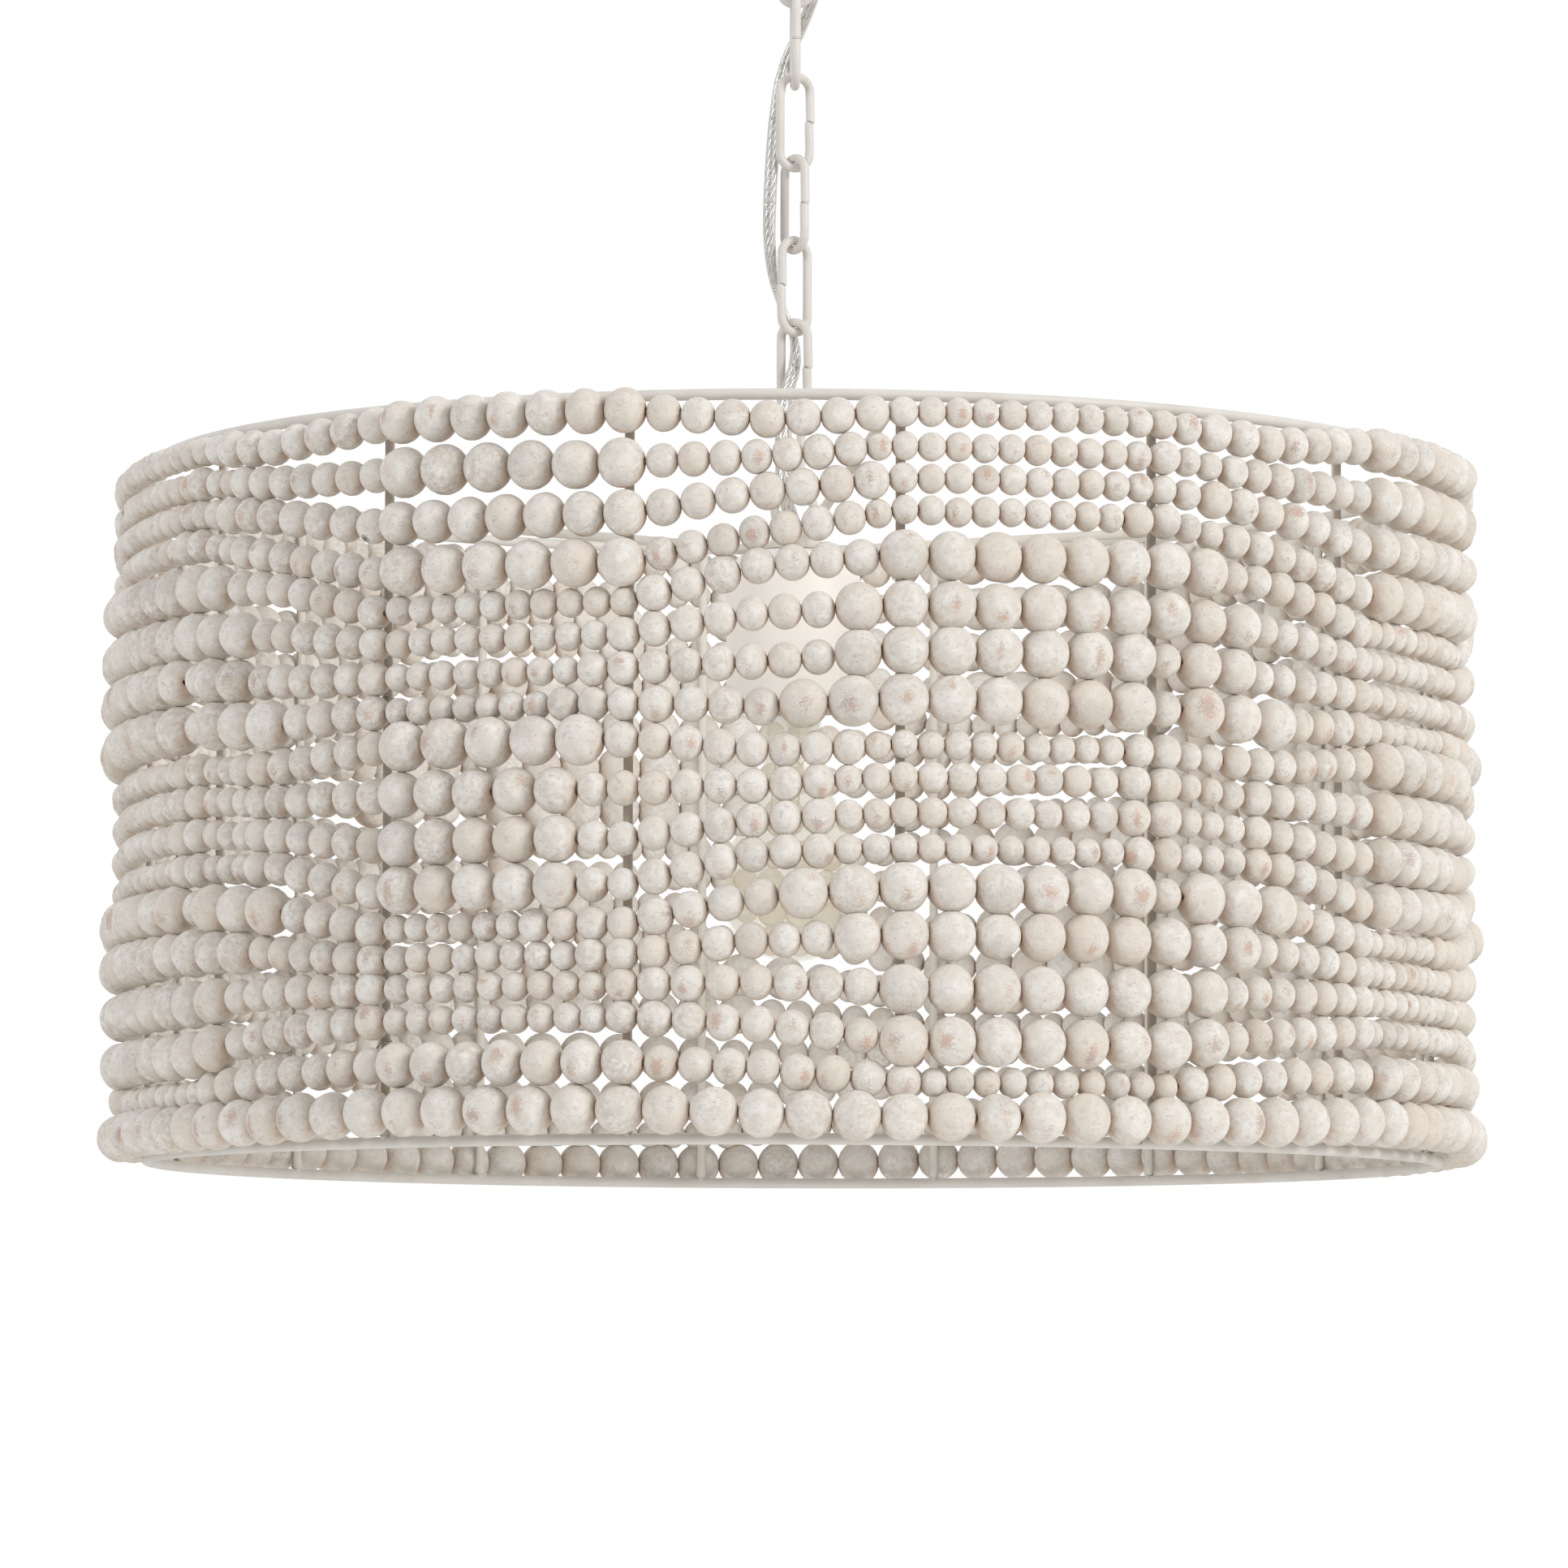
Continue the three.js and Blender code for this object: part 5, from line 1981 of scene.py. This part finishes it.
    def _beads(
        self,
        form: Form,
        row: int,
        kind: BeadKind,
        chosen: np.ndarray,
        chance: np.random.Generator,
    ) -> None:
        """Adds the beads of one kind in one row.

        Args:
            form: The row's form.
            row: The row.
            kind: The beads' kind.
            chosen: Place in bays and width in radians of each bead.
            chance: The row's own random source.
        """
        uneven, count, step = self.uneven, len(chosen), 0.02
        place, wide = chosen[:, 0], chosen[:, 1]
        angle = rib_angle(place)
        slope = self.height_at(row, place + step) - self.height_at(row, place - step)
        tilt = np.arctan2(slope, 2 * step * TURN / RIBS * kind.lie)
        tilt = tilt + chance.normal(0, uneven.tilt, count)
        swing = chance.normal(0, uneven.swing, count)
        bent = chance.uniform(0, 1, count) > uneven.straight
        swing = swing + np.where(bent, chance.uniform(*uneven.crooked, count), 0.0) * np.sign(swing)
        half = wide * kind.lie / 2 * self.slack
        grown = spread((wide * kind.lie / kind.length) ** 0.6)
        shrunk = np.minimum(np.abs(chance.normal(0, uneven.shrink, count)), uneven.smallest)
        size = kind.radius * (1.0 - shrunk)
        local, near = self._turned_beads(kind, half, size, grown, chance)
        facts = self._facts(local, half, angle, near, chance)
        x, y, z = (local[..., axis] for axis in range(3))
        x, z = rotated(x, z, tilt)
        x, y = rotated(x, y, swing)
        sine, cosine = spread(np.sin(angle)), spread(np.cos(angle))
        off = np.minimum(chance.normal(0, uneven.lie, count), uneven.furthest)
        drop = spread(chance.normal(0, uneven.drop, count))
        reach = kind.lie + spread(off) + y
        height = spread(self.height_at(row, place) + TOP_RING) + drop + z
        sideways = (reach * sine + x * cosine, -reach * cosine + x * sine)
        points = np.stack([*sideways, height], axis=-1) * MM
        for i in range(count):
            own = {name: values[i] for name, values in facts.items()}
            form.grid(points[i], closed=True, facts=own)

    def _turned_beads(
        self,
        kind: BeadKind,
        half: np.ndarray,
        size: np.ndarray,
        grown: np.ndarray,
        chance: np.random.Generator,
    ) -> tuple[np.ndarray, np.ndarray]:
        """The beads as turned, each about its own bore, a little oval and lumpy.

        Args:
            kind: The beads' kind.
            half: Half of each bead's length.
            size: Each bead's radius.
            grown: How much taller each bead is than a round one.
            chance: The row's own random source.

        Returns:
            The vertices in each bead's own frame, in millimetres, and how near each point of the
            outline is to the bore's mouth.
        """
        each = (len(half), 1, 1)
        oval = chance.uniform(0.0, self.uneven.oval, each)
        oval_turn = chance.uniform(0, TURN, each)
        lean = chance.uniform(-self.uneven.lean, self.uneven.lean, each)
        along, out, near = kind.profile()
        a, r = along[None, :, None], out[None, :, None]
        s = (np.arange(kind.sides) * TURN / kind.sides)[None, None, :]
        outer = np.clip((r - 0.4) / 0.3, 0, 1)
        shape = 1.0 - oval * (0.5 + 0.5 * np.cos(2 * (s - oval_turn))) * outer
        shape = shape - 0.018 * outer * (1 + np.sin(3 * s + oval_turn * 5 + a * 2.1)) / 2
        shape = shape + lean * a * 0.35 * outer * (1 - np.abs(a))
        x = a * spread(half) * np.ones_like(shape)
        radial = r * spread(size) * shape
        return np.stack([x, radial * np.cos(s), radial * np.sin(s) * grown], axis=-1), near

    def _facts(
        self,
        local: np.ndarray,
        half: np.ndarray,
        angle: np.ndarray,
        near: np.ndarray,
        chance: np.random.Generator,
    ) -> Facts:
        """What the wash and its painted shade depend on, for each vertex.

        Args:
            local: Vertices in each bead's own frame.
            half: Half of each bead's length.
            angle: Each bead's angle round the drum.
            near: How near each point of the outline is to the bore's mouth.
            chance: The row's own random source.

        Returns:
            The facts by name.
        """
        wear, count, shape = self.wear, len(half), local.shape[:3]

        def picked(low: float, high: float) -> np.ndarray:
            """One random value per bead."""
            return chance.uniform(low, high, count)

        offset = chance.uniform(0, 900, (count, 1, 1, 3))
        around = np.arctan2(local[..., 2], local[..., 1])
        along = local[..., 0] / spread(half)
        luck = picked(0, 1)
        worn = np.where(luck > wear.faint, picked(*wear.bare_share), 0.0)
        faint = (luck > wear.sound) & (luck <= wear.faint)
        worn = np.where(faint, picked(*wear.faint_share), worn)
        middle = spread(chance.normal(-0.22, 0.48, count))
        slide = spread(chance.normal(0.0, 0.34, count))
        tall, broad = spread(picked(0.25, 0.65)), spread(picked(0.18, 0.45))
        spot = np.exp(-(((around - middle) / tall) ** 2) - ((along - slide) / broad) ** 2)
        crusty = spread(np.where(picked(0, 1) > wear.plain, picked(*wear.crust_share), 0.0))
        crust_turn = spread(picked(-2.0, 2.0))
        # Painted shade: the tone grows towards the drum's left side, which greys it; the rest is
        # random
        left = 0.5 - 0.5 * np.sin(angle)
        tone_and_side_shade = picked(0, 1) * (0.55 + 0.6 * left)
        burnt = spread(np.where(picked(0, 1) > wear.unburnt, 1.0, 0.0))
        high, long = wear.scorch_size
        burn = np.exp(-(((around - middle) / high) ** 2) - ((along - slide - 0.3) / long) ** 2)
        # How far a point faces down, for the painted shade on the bead's underside
        below = np.clip(-np.sin(around), 0, 1)
        return {
            "bead_place": local + offset,
            "scorch": burnt * burn,
            "bare": spread(worn) * spot,
            "rough": crusty * np.exp(-(((around - crust_turn) / wear.crust_width) ** 2)),
            "rim": np.broadcast_to(near[None, :, None], shape),
            "tone_and_side_shade": np.broadcast_to(spread(tone_and_side_shade), shape),
            # Painted shade: more near the bead's ends, where it meets its neighbours, and on its
            # underside
            "deep": np.clip(np.abs(along) - 0.55, 0, 1) * 1.1 + below ** 2 * 0.45,
        }


def main() -> None:
    """Builds the scene piece by piece."""
    logging.basicConfig(level=logging.INFO, format="%(name)s: %(message)s")
    Studio().build()
    sheath = MilkySheath().material()
    strand = PlainMetal("tinned_strand", (0.95, 0.945, 0.93), (0.72, 0.70, 0.67), 0.2).material()
    TwinCord().build(sheath, strand)
    paint = SprayedPaint().material()
    rib_paint = RibPaint().material()
    zinc = PlainMetal("zinc_steel", (0.70, 0.71, 0.72), (0.45, 0.45, 0.45), 0.35).material()
    wire = PlainMetal("binding_wire", (0.60, 0.57, 0.52), (0.42, 0.38, 0.33), 0.4).material()
    brass = PlainMetal("base_brass", (0.72, 0.54, 0.26), (0.50, 0.38, 0.20), 0.3).material()
    glass = ThinGlass().material()
    satin = SprayedPaint(
        "chain_paint", (0.78, 0.755, 0.72), (0.66, 0.62, 0.57), roughness=0.42, chips=0.80
    ).material()
    Chain().build(satin)
    CeilingFittings().build(paint, zinc)
    arm_paint = SprayedPaint("arm_paint", (0.72, 0.685, 0.62), (0.60, 0.555, 0.49)).material()
    # The cup's white paint made lighter than the rest: painted light for the cup, which hangs in
    # the drum's shade
    lightened_cup_paint = SprayedPaint(
        "cup_paint_lightened", (0.95, 0.91, 0.86), (0.90, 0.86, 0.81), roughness=0.4, chips=0.9
    ).material()
    Hub().build(paint, arm_paint, zinc, lightened_cup_paint)
    Lamp().build(MouldedResin().material(), brass, glass, wire)
    DrumFrame().build(paint, rib_paint, wire)
    BeadRows().build(WashedWood().material(), wire)


if __name__ == "__main__":
    main()
